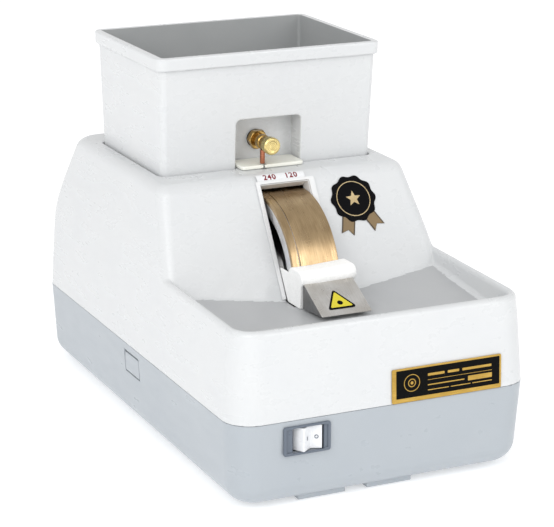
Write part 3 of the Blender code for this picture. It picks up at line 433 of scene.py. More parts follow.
def turned(name, profile, start, axis, mat, steps=96, closed=False):
    """Turns (radius, along) points about an axis that starts at an (x, back, up) place."""
    axis = Vector(axis)
    side = axis.orthogonal().normalized()
    other = axis.cross(side)
    points, faces = [], []
    count = len(profile)
    for step in range(steps):
        angle = 2 * math.pi * step / steps
        out = side * math.cos(angle) + other * math.sin(angle)
        points += [ORIGIN + Vector(start) + axis * along + out * radius for radius, along in profile]
        nearer, further = step * count, (step + 1) % steps * count
        for i in range(count if closed else count - 1):
            j = (i + 1) % count
            faces.append((nearer + i, nearer + j, further + j, further + i))
    obj = mesh_object(name, points, faces, [mat])
    clean(obj.data, dissolve=True)
    shade(obj)
    return obj


def mesh_from_curve(curve, matrix, mat):
    """The mesh that a curve or a text makes, moved by a matrix."""
    shape = linked(curve.name, curve)
    mesh = evaluated_mesh(shape)
    bpy.data.objects.remove(shape)
    mesh.transform(matrix)
    mesh.materials.clear()
    mesh.materials.append(mat)
    return mesh


def slab(name, outline, thickness, matrix, mat, edge=0.0, hole=None):
    """A flat outline thickened along local +Z, with its edges rounded; hole is an inner outline."""
    curve = bpy.data.curves.new(name, "CURVE")
    curve.dimensions = "2D"
    curve.fill_mode = "BOTH"
    for loop in (outline, hole) if hole else (outline,):
        spline = curve.splines.new("POLY")
        spline.points.add(len(loop) - 1)
        for point, (x, y) in zip(spline.points, loop):
            point.co = (x, y, 0.0, 1.0)
        spline.use_cyclic_u = True
    curve.extrude = thickness / 2
    mesh = mesh_from_curve(curve, matrix @ lift(thickness / 2), mat)
    clean(mesh)
    obj = linked(name, mesh)
    if edge:
        bevel(obj, "edge", edge, 2, 50)
    apply_modifiers(obj)
    shade(obj, 40.0)
    return obj


def join(name, objs):
    """Makes one piece with all the given pieces' meshes and materials."""
    for obj in objs:
        apply_modifiers(obj)
    with bpy.context.temp_override(active_object=objs[0], selected_editable_objects=objs, object=objs[0],
                                   selected_objects=objs):
        bpy.ops.object.join()
    objs[0].name = objs[0].data.name = name
    return objs[0]


def place(piece, body, slot, *nodes):
    """Rides a piece on a body and, where it stands for CAD nodes, replaces them."""
    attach(piece, body)
    if nodes:
        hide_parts(*nodes)


def face_axes(lean):
    """Directions up along and straight out of a face that leans back from upright."""
    return Vector((0.0, math.sin(lean), math.cos(lean))), Vector((0.0, -math.cos(lean), math.sin(lean)))


def face_matrix(origin, lean):
    """Frame on a leaning face: local X right, Y up the face, Z out of it."""
    up_face, out = face_axes(lean)
    rows = Matrix((Vector((1.0, 0.0, 0.0)), up_face, out)).transposed().to_4x4()
    return Matrix.Translation(ORIGIN + Vector(origin)) @ rows


def lift(distance):
    return Matrix.Translation((0.0, 0.0, distance))


# ---- materials ----
WHITE = (1.0, 1.0, 1.0)

# how tool marks stretch the noise: a small number draws it out along that axis
EVEN = (1.0, 1.0, 1.0)
TURNED_ROUND_X = (1.0, 0.05, 0.05)
TURNED_ROUND_Y = (0.05, 1.0, 0.05)
BRUSHED_ACROSS = (0.06, 1.0, 1.0)
BRUSHED_UP = (1.0, 1.0, 0.06)


def new_material(name, roughness, metallic=0.0, **sockets):
    """A material and its shader, with plain values on the shader's own sockets."""
    mat = bpy.data.materials.new(name + "_finish")
    mat.use_nodes = True
    shader = mat.node_tree.nodes["Principled BSDF"]
    shader.inputs["Roughness"].default_value = roughness
    shader.inputs["Metallic"].default_value = metallic
    for socket, value in sockets.items():
        shader.inputs[socket.replace("_", " ")].default_value = value
    return mat, shader


def add_node(mat, kind, output, **inputs):
    """An output of a new shader node whose inputs are plain values or other nodes' outputs."""
    node = mat.node_tree.nodes.new("ShaderNode" + kind)
    for name, value in inputs.items():
        socket = node.inputs[name.replace("_", " ")]
        if isinstance(value, bpy.types.NodeSocket):
            mat.node_tree.links.new(value, socket)
        else:
            socket.default_value = value
    return node.outputs[output]


def own_place(mat, stretch, centre=(0.0, 0.0, 0.0)):
    """The piece's own coordinates from a centre, in metres, each axis multiplied by its stretch."""
    coordinates = add_node(mat, "TexCoord", "Object")
    return add_node(mat, "Mapping", "Vector", Vector=coordinates, Scale=stretch, Location=-Vector(centre))


def noise(mat, scale, detail, stretch=EVEN):
    """Noise with about so many cells in a metre."""
    return add_node(mat, "TexNoise", "Fac", Vector=own_place(mat, stretch), Scale=scale, Detail=detail)


def pores(mat, scale):
    """Distance to the nearest pore of a foam with about so many pores in a metre."""
    return add_node(mat, "TexVoronoi", "Distance", Vector=own_place(mat, EVEN), Scale=scale)


def tint(mat, factor, stops):
    """Colour by a factor, from two (place, colour) stops."""
    ramp = mat.node_tree.nodes.new("ShaderNodeValToRGB")
    for element, (position, colour) in zip(ramp.color_ramp.elements, stops):
        element.position = position
        element.color = (*colour, 1.0)
    mat.node_tree.links.new(factor, ramp.inputs["Fac"])
    return ramp.outputs["Color"]


def span(mat, factor, low, high, start=0.3, end=0.7):
    """Maps a factor from start..end to low..high."""
    return add_node(mat, "MapRange", "Result", Value=factor, From_Min=start, From_Max=end, To_Min=low,
                    To_Max=high)


def multiply(mat, first, second):
    """The product of two colours."""
    mix = mat.node_tree.nodes.new("ShaderNodeMix")
    mix.data_type = "RGBA"
    mix.blend_type = "MULTIPLY"
    mix.inputs["Factor"].default_value = 1.0
    mat.node_tree.links.new(first, mix.inputs[6])
    mat.node_tree.links.new(second, mix.inputs[7])
    return mix.outputs[2]


def scaled(colour, factor):
    return tuple(channel * factor for channel in colour)


def dress(mat, shader, colour, rough, height, depth):
    """Links a finish's colour and roughness, and bumps of a depth in metres."""
    bump = add_node(mat, "Bump", "Normal", Height=height, Distance=depth)
    for output, socket in ((colour, "Base Color"), (rough, "Roughness"), (bump, "Normal")):
        mat.node_tree.links.new(output, shader.inputs[socket])
    return mat


def moulded(name, colour, roughness, tone=0.035, soil=0.05, gloss=0.5, grain=0.000012):
    """Moulded plastic: slow drift in tone, faint wipe marks and soil, and a fine mould grain."""
    mat, shader = new_material(name, roughness, Specular_IOR_Level=gloss)
    drift = tint(mat, noise(mat, 7.0, 1.0), [(0.3, scaled(colour, 1.0 - tone)), (0.7, colour)])
    soiling = tint(mat, noise(mat, 26.0, 5.0), [(0.25, scaled((0.985, 0.99, 1.0), 1.0 - soil)),
                                                (0.75, WHITE)])
    rough = span(mat, noise(mat, 70.0, 6.0, (1.0, 0.4, 1.6)), roughness - 0.05, roughness + 0.08)
    return dress(mat, shader, multiply(mat, drift, soiling), rough, noise(mat, 1700.0, 2.0), grain)


def worked_metal(name, dull, bright, roughness, stretch, lines=1900.0, patches=70.0, stain=0.14,
                 depth=0.000010):
    """Metal with tool marks drawn out along the axes with a small stretch, and duller patches."""
    mat, shader = new_material(name, roughness, 1.0)
    marks = noise(mat, lines, 4.0, stretch)
    tone = tint(mat, marks, [(0.3, dull), (0.7, bright)])
    patch = tint(mat, noise(mat, patches, 6.0), [(0.38, scaled((1.0, 0.98, 0.95), 1.0 - stain)),
                                                 (0.60, WHITE)])
    rough = span(mat, noise(mat, patches * 1.7, 5.0), roughness - 0.06, roughness + 0.12)
    return dress(mat, shader, multiply(mat, tone, patch), rough, marks, depth)


def foam(name, colour):
    """Open-cell foam: small pores, darker inside, on a slightly uneven skin."""
    mat, shader = new_material(name, 0.95, Sheen_Weight=0.2)
    cells = pores(mat, 620.0)
    shadow = tint(mat, cells, [(0.05, scaled(colour, 0.90)), (0.35, colour)])
    uneven = tint(mat, noise(mat, 90.0, 4.0), [(0.3, (0.95, 0.955, 0.95)), (0.6, WHITE)])
    return dress(mat, shader, multiply(mat, shadow, uneven), span(mat, cells, 0.98, 0.85), cells, 0.00018)


def abrasive(name):
    """Bronze-bonded abrasive: fine rings worn by running, darker worked patches and a gritty grain."""
    mat, shader = new_material(name, 0.4, 1.0)
    rings = tint(mat, noise(mat, 2600.0, 4.0, (1.0, 0.03, 0.03)), [(0.3, (0.39, 0.27, 0.145)),
                                                                  (0.7, (0.56, 0.415, 0.245))])
    worn = tint(mat, noise(mat, 85.0, 6.0, (1.0, 0.5, 0.5)), [(0.34, (0.80, 0.78, 0.76)), (0.58, WHITE)])
    rough = span(mat, noise(mat, 160.0, 5.0, (1.0, 0.3, 0.3)), 0.24, 0.36)
    return dress(mat, shader, multiply(mat, rings, worn), rough, noise(mat, 3200.0, 2.0), 0.00002)


def faced_brass(name, centre, pitch):
    """Brass with turned rings on its face, round an axis along Y through the centre."""
    mat, shader = new_material(name, 0.24, 1.0)
    rings = mat.node_tree.nodes.new("ShaderNodeTexWave")
    rings.wave_type = "RINGS"
    rings.rings_direction = "Y"
    rings.inputs["Scale"].default_value = math.pi / 10 / pitch
    mat.node_tree.links.new(own_place(mat, EVEN, centre), rings.inputs["Vector"])
    tone = tint(mat, rings.outputs["Fac"], [(0.1, (0.66, 0.51, 0.20)), (0.7, (0.82, 0.68, 0.32))])
    worn = tint(mat, noise(mat, 300.0, 5.0), [(0.35, (0.88, 0.86, 0.82)), (0.6, WHITE)])
    return dress(mat, shader, multiply(mat, tone, worn), span(mat, noise(mat, 500.0, 4.0), 0.2, 0.34),
                 rings.outputs["Fac"], 0.00005)


def rubbery(name, colour, roughness):
    """Black rubber with a mottled matt skin."""
    mat, shader = new_material(name, roughness)
    mottle = tint(mat, noise(mat, 420.0, 6.0), [(0.3, scaled(colour, 0.7)), (0.7, scaled(colour, 1.3))])
    return dress(mat, shader, mottle, span(mat, noise(mat, 130.0, 5.0), roughness - 0.08, roughness + 0.08),
                 noise(mat, 900.0, 5.0), 0.00004)


def printed(name, colour, roughness=0.42, gloss=0.4):
    """Ink or film on a label, with the fibre of the paper under it."""
    mat, shader = new_material(name, roughness, Specular_IOR_Level=gloss)
    fibre = tint(mat, noise(mat, 1300.0, 4.0, (1.0, 1.0, 0.5)), [(0.3, scaled(colour, 0.90)), (0.7, colour)])
    return dress(mat, shader, fibre, span(mat, noise(mat, 200.0, 4.0), roughness - 0.06, roughness + 0.08),
                 noise(mat, 1500.0, 3.0), 0.000008)


# painted shade: the tank's inside is a darker tone of the case plastic, standing in for the shade within its
# walls
TANK_INSIDE_SHADE = moulded("tank_inside_painted_shade", (0.395, 0.405, 0.405), 0.40, 0.03, 0.05)
# painted shade: the basin floor is a darker tone of the case plastic, standing in for the shade it lies in
# below its walls
BASIN_SHADE = moulded("basin_painted_shade", (0.475, 0.483, 0.490), 0.36, 0.02, 0.04)
UPPER_PLASTIC = moulded("upper_plastic", (0.655, 0.666, 0.671), 0.28, 0.008, 0.014)
LOWER_PLASTIC = moulded("lower_plastic", (0.405, 0.438, 0.468), 0.32, 0.012, 0.02)
WHITE_PLASTIC = moulded("white_plastic", (0.76, 0.765, 0.765), 0.32, 0.015, 0.03)
ROCKER_WHITE = moulded("rocker_white", (0.80, 0.81, 0.83), 0.26, 0.015, 0.03)
CREAM_PLASTIC = moulded("cream_plastic", (0.90, 0.90, 0.82), 0.38, 0.02, 0.03)
GREY_PLASTIC = moulded("grey_plastic", (0.125, 0.150, 0.190), 0.30, 0.08, 0.10)
BLACK_PLASTIC = moulded("black_plastic", (0.004, 0.004, 0.005), 0.34, 0.2, 0.25, gloss=0.05)
FLOOR_WHITE = moulded("floor", (0.85, 0.85, 0.85), 0.7, 0.0, 0.0)
SPONGE = foam("sponge", (0.985, 0.985, 0.98))
BRONZE = abrasive("bonded_bronze")
ALUMINIUM = worked_metal("aluminium", (0.70, 0.70, 0.72), (0.84, 0.84, 0.86), 0.32, TURNED_ROUND_X)
STAINLESS = worked_metal("stainless", (0.66, 0.645, 0.62), (0.76, 0.745, 0.72), 0.30, (1.0, 0.06, 0.06))
# painted shade: a darker copy of the stainless for the splash plate's cheeks, standing in for the dim
# surroundings they reflect; its rougher finish is the metal's own
STAINLESS_SHADED = worked_metal("stainless_painted_shade", (0.22, 0.22, 0.225), (0.30, 0.30, 0.305), 0.42,
                              (0.06, 1.0, 0.06))
STEEL = worked_metal("steel", (0.44, 0.45, 0.46), (0.58, 0.59, 0.60), 0.38, TURNED_ROUND_X)
ZINC = worked_metal("zinc_plate", (0.52, 0.53, 0.52), (0.66, 0.67, 0.65), 0.42, EVEN, lines=240.0,
                    patches=40.0, stain=0.2)
BRASS = worked_metal("brass", (0.36, 0.225, 0.07), (0.52, 0.34, 0.115), 0.18, TURNED_ROUND_Y, stain=0.12)
BRASS_FACE = faced_brass("brass_face", ORIGIN + Vector((TAP_X, 0.0, TAP_UP)), 0.0012)
COPPER = worked_metal("copper", (0.36, 0.13, 0.07), (0.54, 0.22, 0.13), 0.26, BRUSHED_UP, stain=0.2)
CASTING = worked_metal("motor_casting", (0.28, 0.30, 0.32), (0.38, 0.40, 0.42), 0.55, EVEN, lines=900.0,
                       patches=60.0, stain=0.2, depth=0.00004)
PLATE_GOLD = worked_metal("plate_gold", (0.46, 0.29, 0.065), (0.60, 0.39, 0.10), 0.30, BRUSHED_ACROSS,
                          stain=0.1)
BADGE_GOLD = worked_metal("badge_gold", (0.46, 0.36, 0.20), (0.60, 0.48, 0.28), 0.32, (1.0, 0.06, 1.0),
                          stain=0.1)
RUBBER = rubbery("rubber", (0.028, 0.028, 0.028), 0.75)
LABEL_PAPER = printed("printed_label", (0.80, 0.81, 0.82))
LABEL_RED = printed("label_red", (0.20, 0.012, 0.02))
CAUTION_YELLOW = printed("caution_yellow", (0.72, 0.62, 0.035), 0.36)
PLATE_BLACK = printed("plate_black", (0.004, 0.004, 0.004), 0.25, gloss=0.05)
RIBBON_DARK = printed("ribbon_dark", (0.075, 0.05, 0.025), 0.34)
RIBBON_BROWN = printed("ribbon_brown", (0.235, 0.16, 0.075), 0.34)
FINISHES = {"white_plastic": WHITE_PLASTIC, "grey_plastic": GREY_PLASTIC, "cream_plastic": CREAM_PLASTIC,
            "black_plastic": BLACK_PLASTIC, "aluminium": ALUMINIUM, "stainless": STAINLESS, "steel": STEEL,
            "zinc_plate": ZINC, "brass": BRASS, "motor_casting": CASTING, "rubber": RUBBER}


def finish_frame():
    """Gives each CAD node that stays in view the finish of its slot."""
    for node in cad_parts.values():
        for material_slot in node.material_slots:
            slot_name = material_slot.material.name
            if slot_name in FINISHES:
                material_slot.material = FINISHES[slot_name]


# ---- housings ----
def side_half(up):
    """Half width: widest at the seam, drawing in above it and more steeply above the rim."""
    below = HALF_BOTTOM + (HALF_SEAM - HALF_BOTTOM) * up / SEAM_UP
    middle = HALF_SEAM + (HALF_RIM - HALF_SEAM) * (up - SEAM_UP) / (RIM_UP - SEAM_UP)
    above = HALF_RIM + (HALF_DECK - HALF_RIM) * (up - RIM_UP) / (DECK_UP - RIM_UP)
    return np.minimum(below, soft_min(middle, above, 0.0035))


def front_face(up):
    below = BOTTOM_LEAN * (1.0 - up / SEAM_UP)
    above = FRONT_LEAN * (up - SEAM_UP) / (RIM_UP - SEAM_UP)
    return np.maximum(below, above)


def back_face(up):
    """Upright below and curving forward above the rim."""
    rise = np.maximum(up - BACK_BEND_UP, 0.0)
    return DEPTH - 0.62 * rise * rise / (rise + 0.022)


def slope_back(up):
    """How far back the sloping face is at a height."""
    return SLOPE_FOOT[0] + (up - SLOPE_FOOT[1]) * SLOPE_RATE


def plane_up(corners):
    """Height over (x, back) of the plane through three (x, back, up) corners, as (base, per x, per back)."""
    rows = np.array([(1.0, x, back) for x, back, up in corners])
    return np.linalg.solve(rows, np.array([up for x, back, up in corners]))


def basin_floor(x, back):
    """Height of the basin floor: flat in the middle, with a raised facet at each back corner."""
    foot = (slope_back(BASIN_FLOOR_UP), BASIN_FLOOR_UP)
    corner = (BASIN_HALF, slope_back(BASIN_CORNER_UP), BASIN_CORNER_UP)
    base, per_x, per_back = plane_up([FLOOR_FRONT, (FLOOR_FOLD_X, *foot), corner])
    flat_base, _, flat_back = plane_up([FLOOR_FRONT, (FLOOR_FOLD_X, *foot), (0.0, *foot)])
    facet = base + per_x * np.abs(x) + per_back * back
    flat = flat_base + flat_back * back
    return -soft_min(-facet, -flat, FLOOR_FOLD)


def case_plan(x, back, up):
    return plan_distance(x, back, side_half(up), front_face(up), back_face(up), PLAN_CORNER)


def upper_outside(x, back, up):
    """Rounded low part with the basin in it, and the hood rising behind the sloping face."""
    plan = case_plan(x, back, up)
    rim_up = RIM_UP + RIM_RISE * np.clip(back / slope_back(RIM_UP), 0.0, 1.0)
    widen = 0.0015 * (up - BASIN_FLOOR_UP) / (RIM_UP - BASIN_FLOOR_UP)
    walls = plan_distance(x, back, BASIN_HALF + widen, BASIN_FRONT - widen, DEPTH / 2, 0.012)
    basin = round_max(walls, basin_floor(x, back) - up, 0.0035)
    low_part = round_max(round_max(plan, up - rim_up, RIM_ROUND), -basin, RIM_ROUND)
    slope = (slope_back(up) - back) * math.cos(SLOPE_ANGLE)
    hood = round_max(round_max(plan, slope, HOOD_ROUND), up - DECK_UP, DECK_ROUND)
    return np.maximum(round_min(low_part, hood, 0.0014), plan)


def upper_field(x, back, up):
    """Upper shell with screw posts, a stepped well for the tank, the wheel's slot and the drip hole."""
    outside = upper_outside(x, back, up)
    hollow = np.maximum(outside + WALL, up - HOOD_CEILING_UP)
    shell = np.maximum(outside, -hollow)
    for post_x, post_back in SCREW_POSTS:
        post = np.hypot(x - post_x, back - post_back) - 0.0085
        shell = np.minimum(shell, np.maximum(post, outside))
    shell = np.maximum(shell, SEAM_UP + SEAM_GAP / 2 - up)
    well_low = TANK_LOW.z - SEAM_GAP
    well = plan_distance(x, back, TANK_FOOT_HALF + WELL_GAP, TANK_FOOT_FRONT - WELL_GAP,
                         TANK_FOOT_BACK + WELL_GAP, 0.006)
    land = np.maximum(np.abs(x) - SHELF_LAND[0], back - SHELF_LAND[1])
    well = np.maximum(np.maximum(well, well_low - up), -land)
    shell = round_max(shell, -well, 0.0006)
    shell = round_max(shell, -block_distance(x, back, up, *WHEEL_SLOT), 0.0006)
    drip_hole = np.maximum(np.hypot(x - SPOUT_X, back - SPOUT_BACK) - 0.004, 0.15 - up)
    return np.maximum(shell, -drip_hole)


def tub_outside(x, back, up):
    return round_max(case_plan(x, back, up), -up, BOTTOM_ROUND)


def lower_field(x, back, up):
    """Lower shell with two low pads, screw posts, vents, and holes for switch, inlet, hatch and drain."""
    outside = tub_outside(x, back, up)
    shell = np.maximum(outside, -(outside + WALL))
    for left, right in PAD_SIDES:
        pad = block_distance(x, back, up, (left, 0.0125, -0.0025), (right, 0.040, 0.002))
        shell = round_min(shell, pad, 0.0006)
    for post_x, post_back in SCREW_POSTS:
        post = np.hypot(x - post_x, back - post_back) - 0.0065
        shell = np.minimum(shell, np.maximum(np.maximum(post, outside), up - 0.0597))
    for i in range(6):
        vent_x = -0.075 + 0.03 * i
        vent = block_distance(x, back, up, (vent_x - 0.002, 0.15, -0.01), (vent_x + 0.002, 0.20, 0.007))
        shell = round_max(shell, -vent, 0.0005)
    openings = [((SWITCH_X - 0.0152, -0.01, SWITCH_UP - 0.0092),
                 (SWITCH_X + 0.0152, 0.02, SWITCH_UP + 0.0092)),
                ((INLET_X - INLET_HALF, DEPTH - 0.02, INLET_UP - INLET_HALF),
                 (INLET_X + INLET_HALF, DEPTH + 0.01, INLET_UP + INLET_HALF)),
                ((-0.125, *HATCH_LOW), (-0.100, *HATCH_HIGH))]
    for low, high in openings:
        shell = np.maximum(shell, -block_distance(x, back, up, low, high))
    drain_hole = np.maximum(np.hypot(x - SPIGOT_X, up - SPIGOT_UP) - 0.0063, DEPTH - 0.012 - back)
    return np.maximum(np.maximum(shell, -drain_hole), up - (SEAM_UP - SEAM_GAP / 2))


def tank_plan(x, back, up):
    """The tank's tapered outline."""
    share = (up - TANK_LOW.z) / (TANK_HIGH.z - TANK_LOW.z)
    return plan_distance(x, back, TANK_FOOT_HALF + (TANK_MOUTH_HALF - TANK_FOOT_HALF) * share,
                         TANK_FOOT_FRONT + (TANK_MOUTH_FRONT - TANK_FOOT_FRONT) * share,
                         TANK_FOOT_BACK + (TANK_MOUTH_BACK - TANK_FOOT_BACK) * share, 0.005)


def tank_pocket(x, back, up):
    """The recess that the tap stands in."""
    outline = plan_distance(x, up, RECESS_HALF, 0.1, RECESS_TOP_UP, RECESS_CORNER)
    return np.maximum(outline, back - RECESS_BACK)


def tank_hollow(x, back, up):
    """The space that holds the water."""
    hollow = np.maximum(tank_plan(x, back, up) + TANK_WALL, TANK_LOW.z + 0.003 - up)
    return round_max(hollow, TANK_WALL - tank_pocket(x, back, up), 0.001)


def water_tank_field(x, back, up):
    """Tapered open tank with a lip round its mouth and a pocket for the tap at the front."""
    plan = tank_plan(x, back, up)
    walls = round_max(plan, between(up, TANK_LOW.z, TANK_HIGH.z), 0.0012)
    lip_low = TANK_HIGH.z - TANK_RIM_HEIGHT
    lip = round_max(plan - TANK_RIM_OUT, between(up, lip_low, TANK_HIGH.z), 0.0011)
    outside = round_max(round_min(walls, lip, 0.0008), -tank_pocket(x, back, up), 0.0011)
    shell = round_max(outside, -tank_hollow(x, back, up), 0.0008)
    tap_hole = np.maximum(np.hypot(x - TAP_X, up - TAP_UP) - 0.0042, np.abs(back - RECESS_BACK) - 0.01)
    return np.maximum(shell, -tap_hole)


def hatch_field(x, back, up):
    """Piece of the tub's side with play all round, and two clips behind it."""
    low, high = HATCH_LOW, HATCH_HIGH
    outside = tub_outside(x, back, up)
    cover = np.maximum(outside, -(outside + 0.0028))
    edges = block_distance(x, back, up, (-0.125, low[0] + HATCH_PLAY, low[1] + HATCH_PLAY),
                           (-0.1, high[0] - HATCH_PLAY, high[1] - HATCH_PLAY))
    cover = round_max(cover, edges, 0.0003)
    middle_up = (low[1] + high[1]) / 2
    for clip_back in (low[0] + 0.006, high[0] - 0.006):
        clip = block_distance(x, back, up, (-0.1128, clip_back - 0.002, middle_up - 0.005),
                              (-0.1045, clip_back + 0.002, middle_up + 0.005))
        cover = np.minimum(cover, clip)
    return cover


def housings():
    """The four mouldings; the basin's floor and the tank's inside are a darker tone of the same plastic, as
    painted shade.
    """
    upper = solid_from_field("upper_moulding", upper_field, UPPER_LOW, UPPER_HIGH, 0.00125, 0.13,
                             [UPPER_PLASTIC, BASIN_SHADE])
    # faces of the basin floor get the painted shade
    for face in upper.data.polygons:
        x, back, up = face.center - ORIGIN
        near_floor = abs(up - basin_floor(x, back)) < 0.003 and back > BASIN_FRONT
        face.material_index = int(near_floor and face.normal.z > 0.93)
    place(upper, "housing", "upper_plastic", "upper_housing")
    lower = solid_from_field("lower_moulding", lower_field, LOWER_LOW, LOWER_HIGH, 0.00125, 0.13,
                             [LOWER_PLASTIC])
    place(lower, "housing", "lower_plastic", "lower_housing")
    hatch = solid_from_field("hatch_cover", hatch_field, *node_box("side_hatch"), 0.0005, 0.3,
                             [LOWER_PLASTIC])
    place(hatch, "hatch", "lower_plastic", "side_hatch")
    tank = solid_from_field("tank_moulding", water_tank_field, TANK_LOW, TANK_HIGH, 0.001, 0.15,
                            [UPPER_PLASTIC, TANK_INSIDE_SHADE])
    # faces inside the tank get the painted shade
    for face in tank.data.polygons:
        middle = face.center - ORIGIN
        below_lip = face.normal.z < 0.4 or middle.z < TANK_HIGH.z - 0.01
        face.material_index = int(tank_hollow(*middle) < 0.0006 and below_lip)
    place(tank, "tank", "upper_plastic", "water_tank")


# ---- wheel ----
def wheel():
    """Two bonded rings on a dished aluminium core, with a groove between them."""
    inner = WHEEL_R - RING_THICK
    for name, left, right in (("fine_grit_ring", WHEEL_LEFT, FINE_RIGHT),
                              ("coarse_grit_ring", FINE_RIGHT + RING_GROOVE, WHEEL_RIGHT)):
        wide = right - left
        profile = fillet([(WHEEL_R, wide), (WHEEL_R, 0.0), (inner, 0.0), (inner, wide)], 0.0005)
        ring = turned(name, profile, (left, *AXLE), ACROSS, BRONZE, 192, closed=True)
        place(ring, "wheel", "bonded_bronze", "fine_ring" if left == WHEEL_LEFT else "coarse_ring")
    core_r = inner - 0.0001
    left, width = WHEEL_LEFT + 0.0003, WHEEL_RIGHT - WHEEL_LEFT - 0.0006
    bore, hub_left, hub_right = SHAFT_R + 0.0001, 0.0073, width - 0.0046
    groove, ridge = FINE_RIGHT - left, WHEEL_R - 0.0007
    web_left, web_right = 0.0110, width - 0.0085
    profile = [(core_r, width), (core_r, groove + RING_GROOVE), (ridge, groove + RING_GROOVE),
               (ridge, groove), (core_r, groove), (core_r, 0.0), (0.051, 0.0), (0.047, web_left),
               (0.0225, web_left), (0.0215, hub_left), (bore, hub_left), (bore, hub_right),
               (0.0215, hub_right), (0.0225, web_right), (0.047, web_right), (0.051, width)]
    core = turned("wheel_hub", fillet(profile, 0.0010), (left, *AXLE), ACROSS, ALUMINIUM, 144, closed=True)
    place(core, "wheel", "aluminium", "wheel_core")


# ---- bezel, sponge and splash plate ----
def slope_matrix(x, up):
    return face_matrix((x, slope_back(up), up), SLOPE_ANGLE)


def arch(start, end, foot, top, corner=0.0):
    """Up from one foot, across the top and down to the other."""
    points = [(start, foot), (start, top), (end, top), (end, foot)]
    return fillet(points, corner, 4, closed=False) if corner else points


def bezel():
    """White frame round the slot, open below, with a collar that lines the slot."""
    low_up = BASIN_FLOOR_UP + 0.0012
    height = (BEZEL_TOP_UP - low_up) / math.cos(SLOPE_ANGLE)
    window = height - 0.0022
    matrix = slope_matrix(0.0, low_up) @ lift(PROUD)
    outline = (arch(SLOT_LEFT, SLOT_RIGHT, 0.0, window, 0.0012)
               + arch(BEZEL_RIGHT, BEZEL_LEFT, 0.0, height, 0.0016))
    frame_piece = slab("bezel_frame", outline, 0.0012, matrix, WHITE_PLASTIC, 0.0004)
    outer, inner, foot = 0.0002, 0.0007, 0.006
    collar = (arch(SLOT_LEFT + outer, SLOT_RIGHT - outer, foot, window - outer)
              + arch(SLOT_RIGHT - inner, SLOT_LEFT + inner, foot, window - inner))
    collar_piece = slab("bezel_collar", collar, 0.0102, matrix @ lift(-0.0100), WHITE_PLASTIC)
    place(join("wheel_frame", [frame_piece, collar_piece]), "housing", "white_plastic", "wheel_bezel")


def sponge_field(x, back, up):
    """Block behind the splash plate with a rolled lip that leans over it and hugs the wheel."""
    floor_up = basin_floor(x, back) + 0.0002
    face = 0.0953 - (up - SPONGE_LOW.z) * 0.08
    rear = slope_back(up) - 0.0017 / math.cos(SLOPE_ANGLE)
    block = round_max(round_max(face - back, up - SHOULDER_UP, 0.0012),
                      np.maximum((back - rear) * math.cos(SLOPE_ANGLE), floor_up - up), 0.0006)
    past = np.maximum(np.maximum(LIP[0] - back, back - 0.1085), 0.0)
    rise = 0.0016 * np.clip((x + 0.006) / 0.026, 0.0, 1.0)
    lip = np.hypot(past, up - LIP[1] - rise) - LIP_R
    pad = round_min(block, lip, 0.0015)
    pad = round_max(round_max(pad, SPONGE_LOW.x - x, 0.0010), x - SPONGE_HIGH.x, 0.0028)
    wheel_middle, wheel_half = (WHEEL_LEFT + WHEEL_RIGHT) / 2, (WHEEL_RIGHT - WHEEL_LEFT) / 2
    clearance = round_max(np.hypot(back - AXLE[0], up - AXLE[1]) - WHEEL_R - 0.0004,
                          np.abs(x - wheel_middle) - wheel_half - 0.0004, 0.0004)
    return round_max(pad, -clearance, 0.0004)


def sponge():
    spare = Vector((0.0, 0.0, 0.002))
    low, high = SPONGE_LOW - spare, SPONGE_HIGH + spare
    pad = solid_from_field("wiping_sponge", sponge_field, low, high, 0.0006, 0.3, [SPONGE])
    place(pad, "housing", "sponge", "wheel_sponge")


def guard():
    """Stainless sheet folded down into a triangular cheek at each side."""
    cheek = (GUARD_LOW, GUARD_TOP, (GUARD_TOP[0], GUARD_FOOT_UP))
    points = [ORIGIN + Vector((side * GUARD_HALF, *corner)) for side in (-1, 1) for corner in cheek]
    plate = mesh_object("splash_sheet", points, [(0, 3, 4, 1), (0, 1, 2), (3, 5, 4)],
                        [STAINLESS, STAINLESS_SHADED])
    # the cheeks get the painted shade
    for face in plate.data.polygons[1:]:
        face.material_index = 1
    bevel(plate, "fold", 0.0009, 4, 30)
    thicken = plate.modifiers.new("thickness", "SOLIDIFY")
    thicken.thickness = GUARD_THICK
    thicken.offset = -1.0
    thicken.use_even_offset = True
    bevel(plate, "edge", 0.0002, 2, 60)
    apply_modifiers(plate)
    shade(plate)
    place(plate, "guard", "stainless", "splash_plate")


def triangle(side, corner):
    return fillet(around(3, lambda angle, k: side / math.sqrt(3), start_deg=90), corner, 5)


def caution_mark():
    """Yellow triangle with a black border and a plain disc, on the splash plate."""
    middle = Vector(GUARD_TOP).lerp(Vector(GUARD_LOW), 0.65)
    matrix = face_matrix((-0.0010, *middle), GUARD_LEAN) @ lift(0.0002)
    border, field = 0.00016, 0.00007
    pieces = [slab("mark_border", triangle(0.0224, 0.0031), border, matrix, BLACK_PLASTIC),
              slab("mark_field", triangle(0.0176, 0.0017), field, matrix @ lift(border), CAUTION_YELLOW),
              slab("mark_disc", circle((0.0, -0.0010), 0.0021), 0.00006, matrix @ lift(border + field),
                   BLACK_PLASTIC)]
    place(join("caution_sticker", pieces), "guard", "caution_yellow", "caution_label")


# ---- labels, badge and nameplate ----
def numerals(name, text, size, matrix, mat):
    """Plain numerals, slightly raised, centred on the matrix's origin."""
    curve = bpy.data.curves.new(name, "FONT")
    curve.body = text
    curve.size = size
    curve.align_x = "CENTER"
    curve.align_y = "CENTER"
    curve.extrude = 0.00003
    curve.offset = size * 0.035
    curve.space_character = 1.2
    return linked(name, mesh_from_curve(curve, matrix, mat))


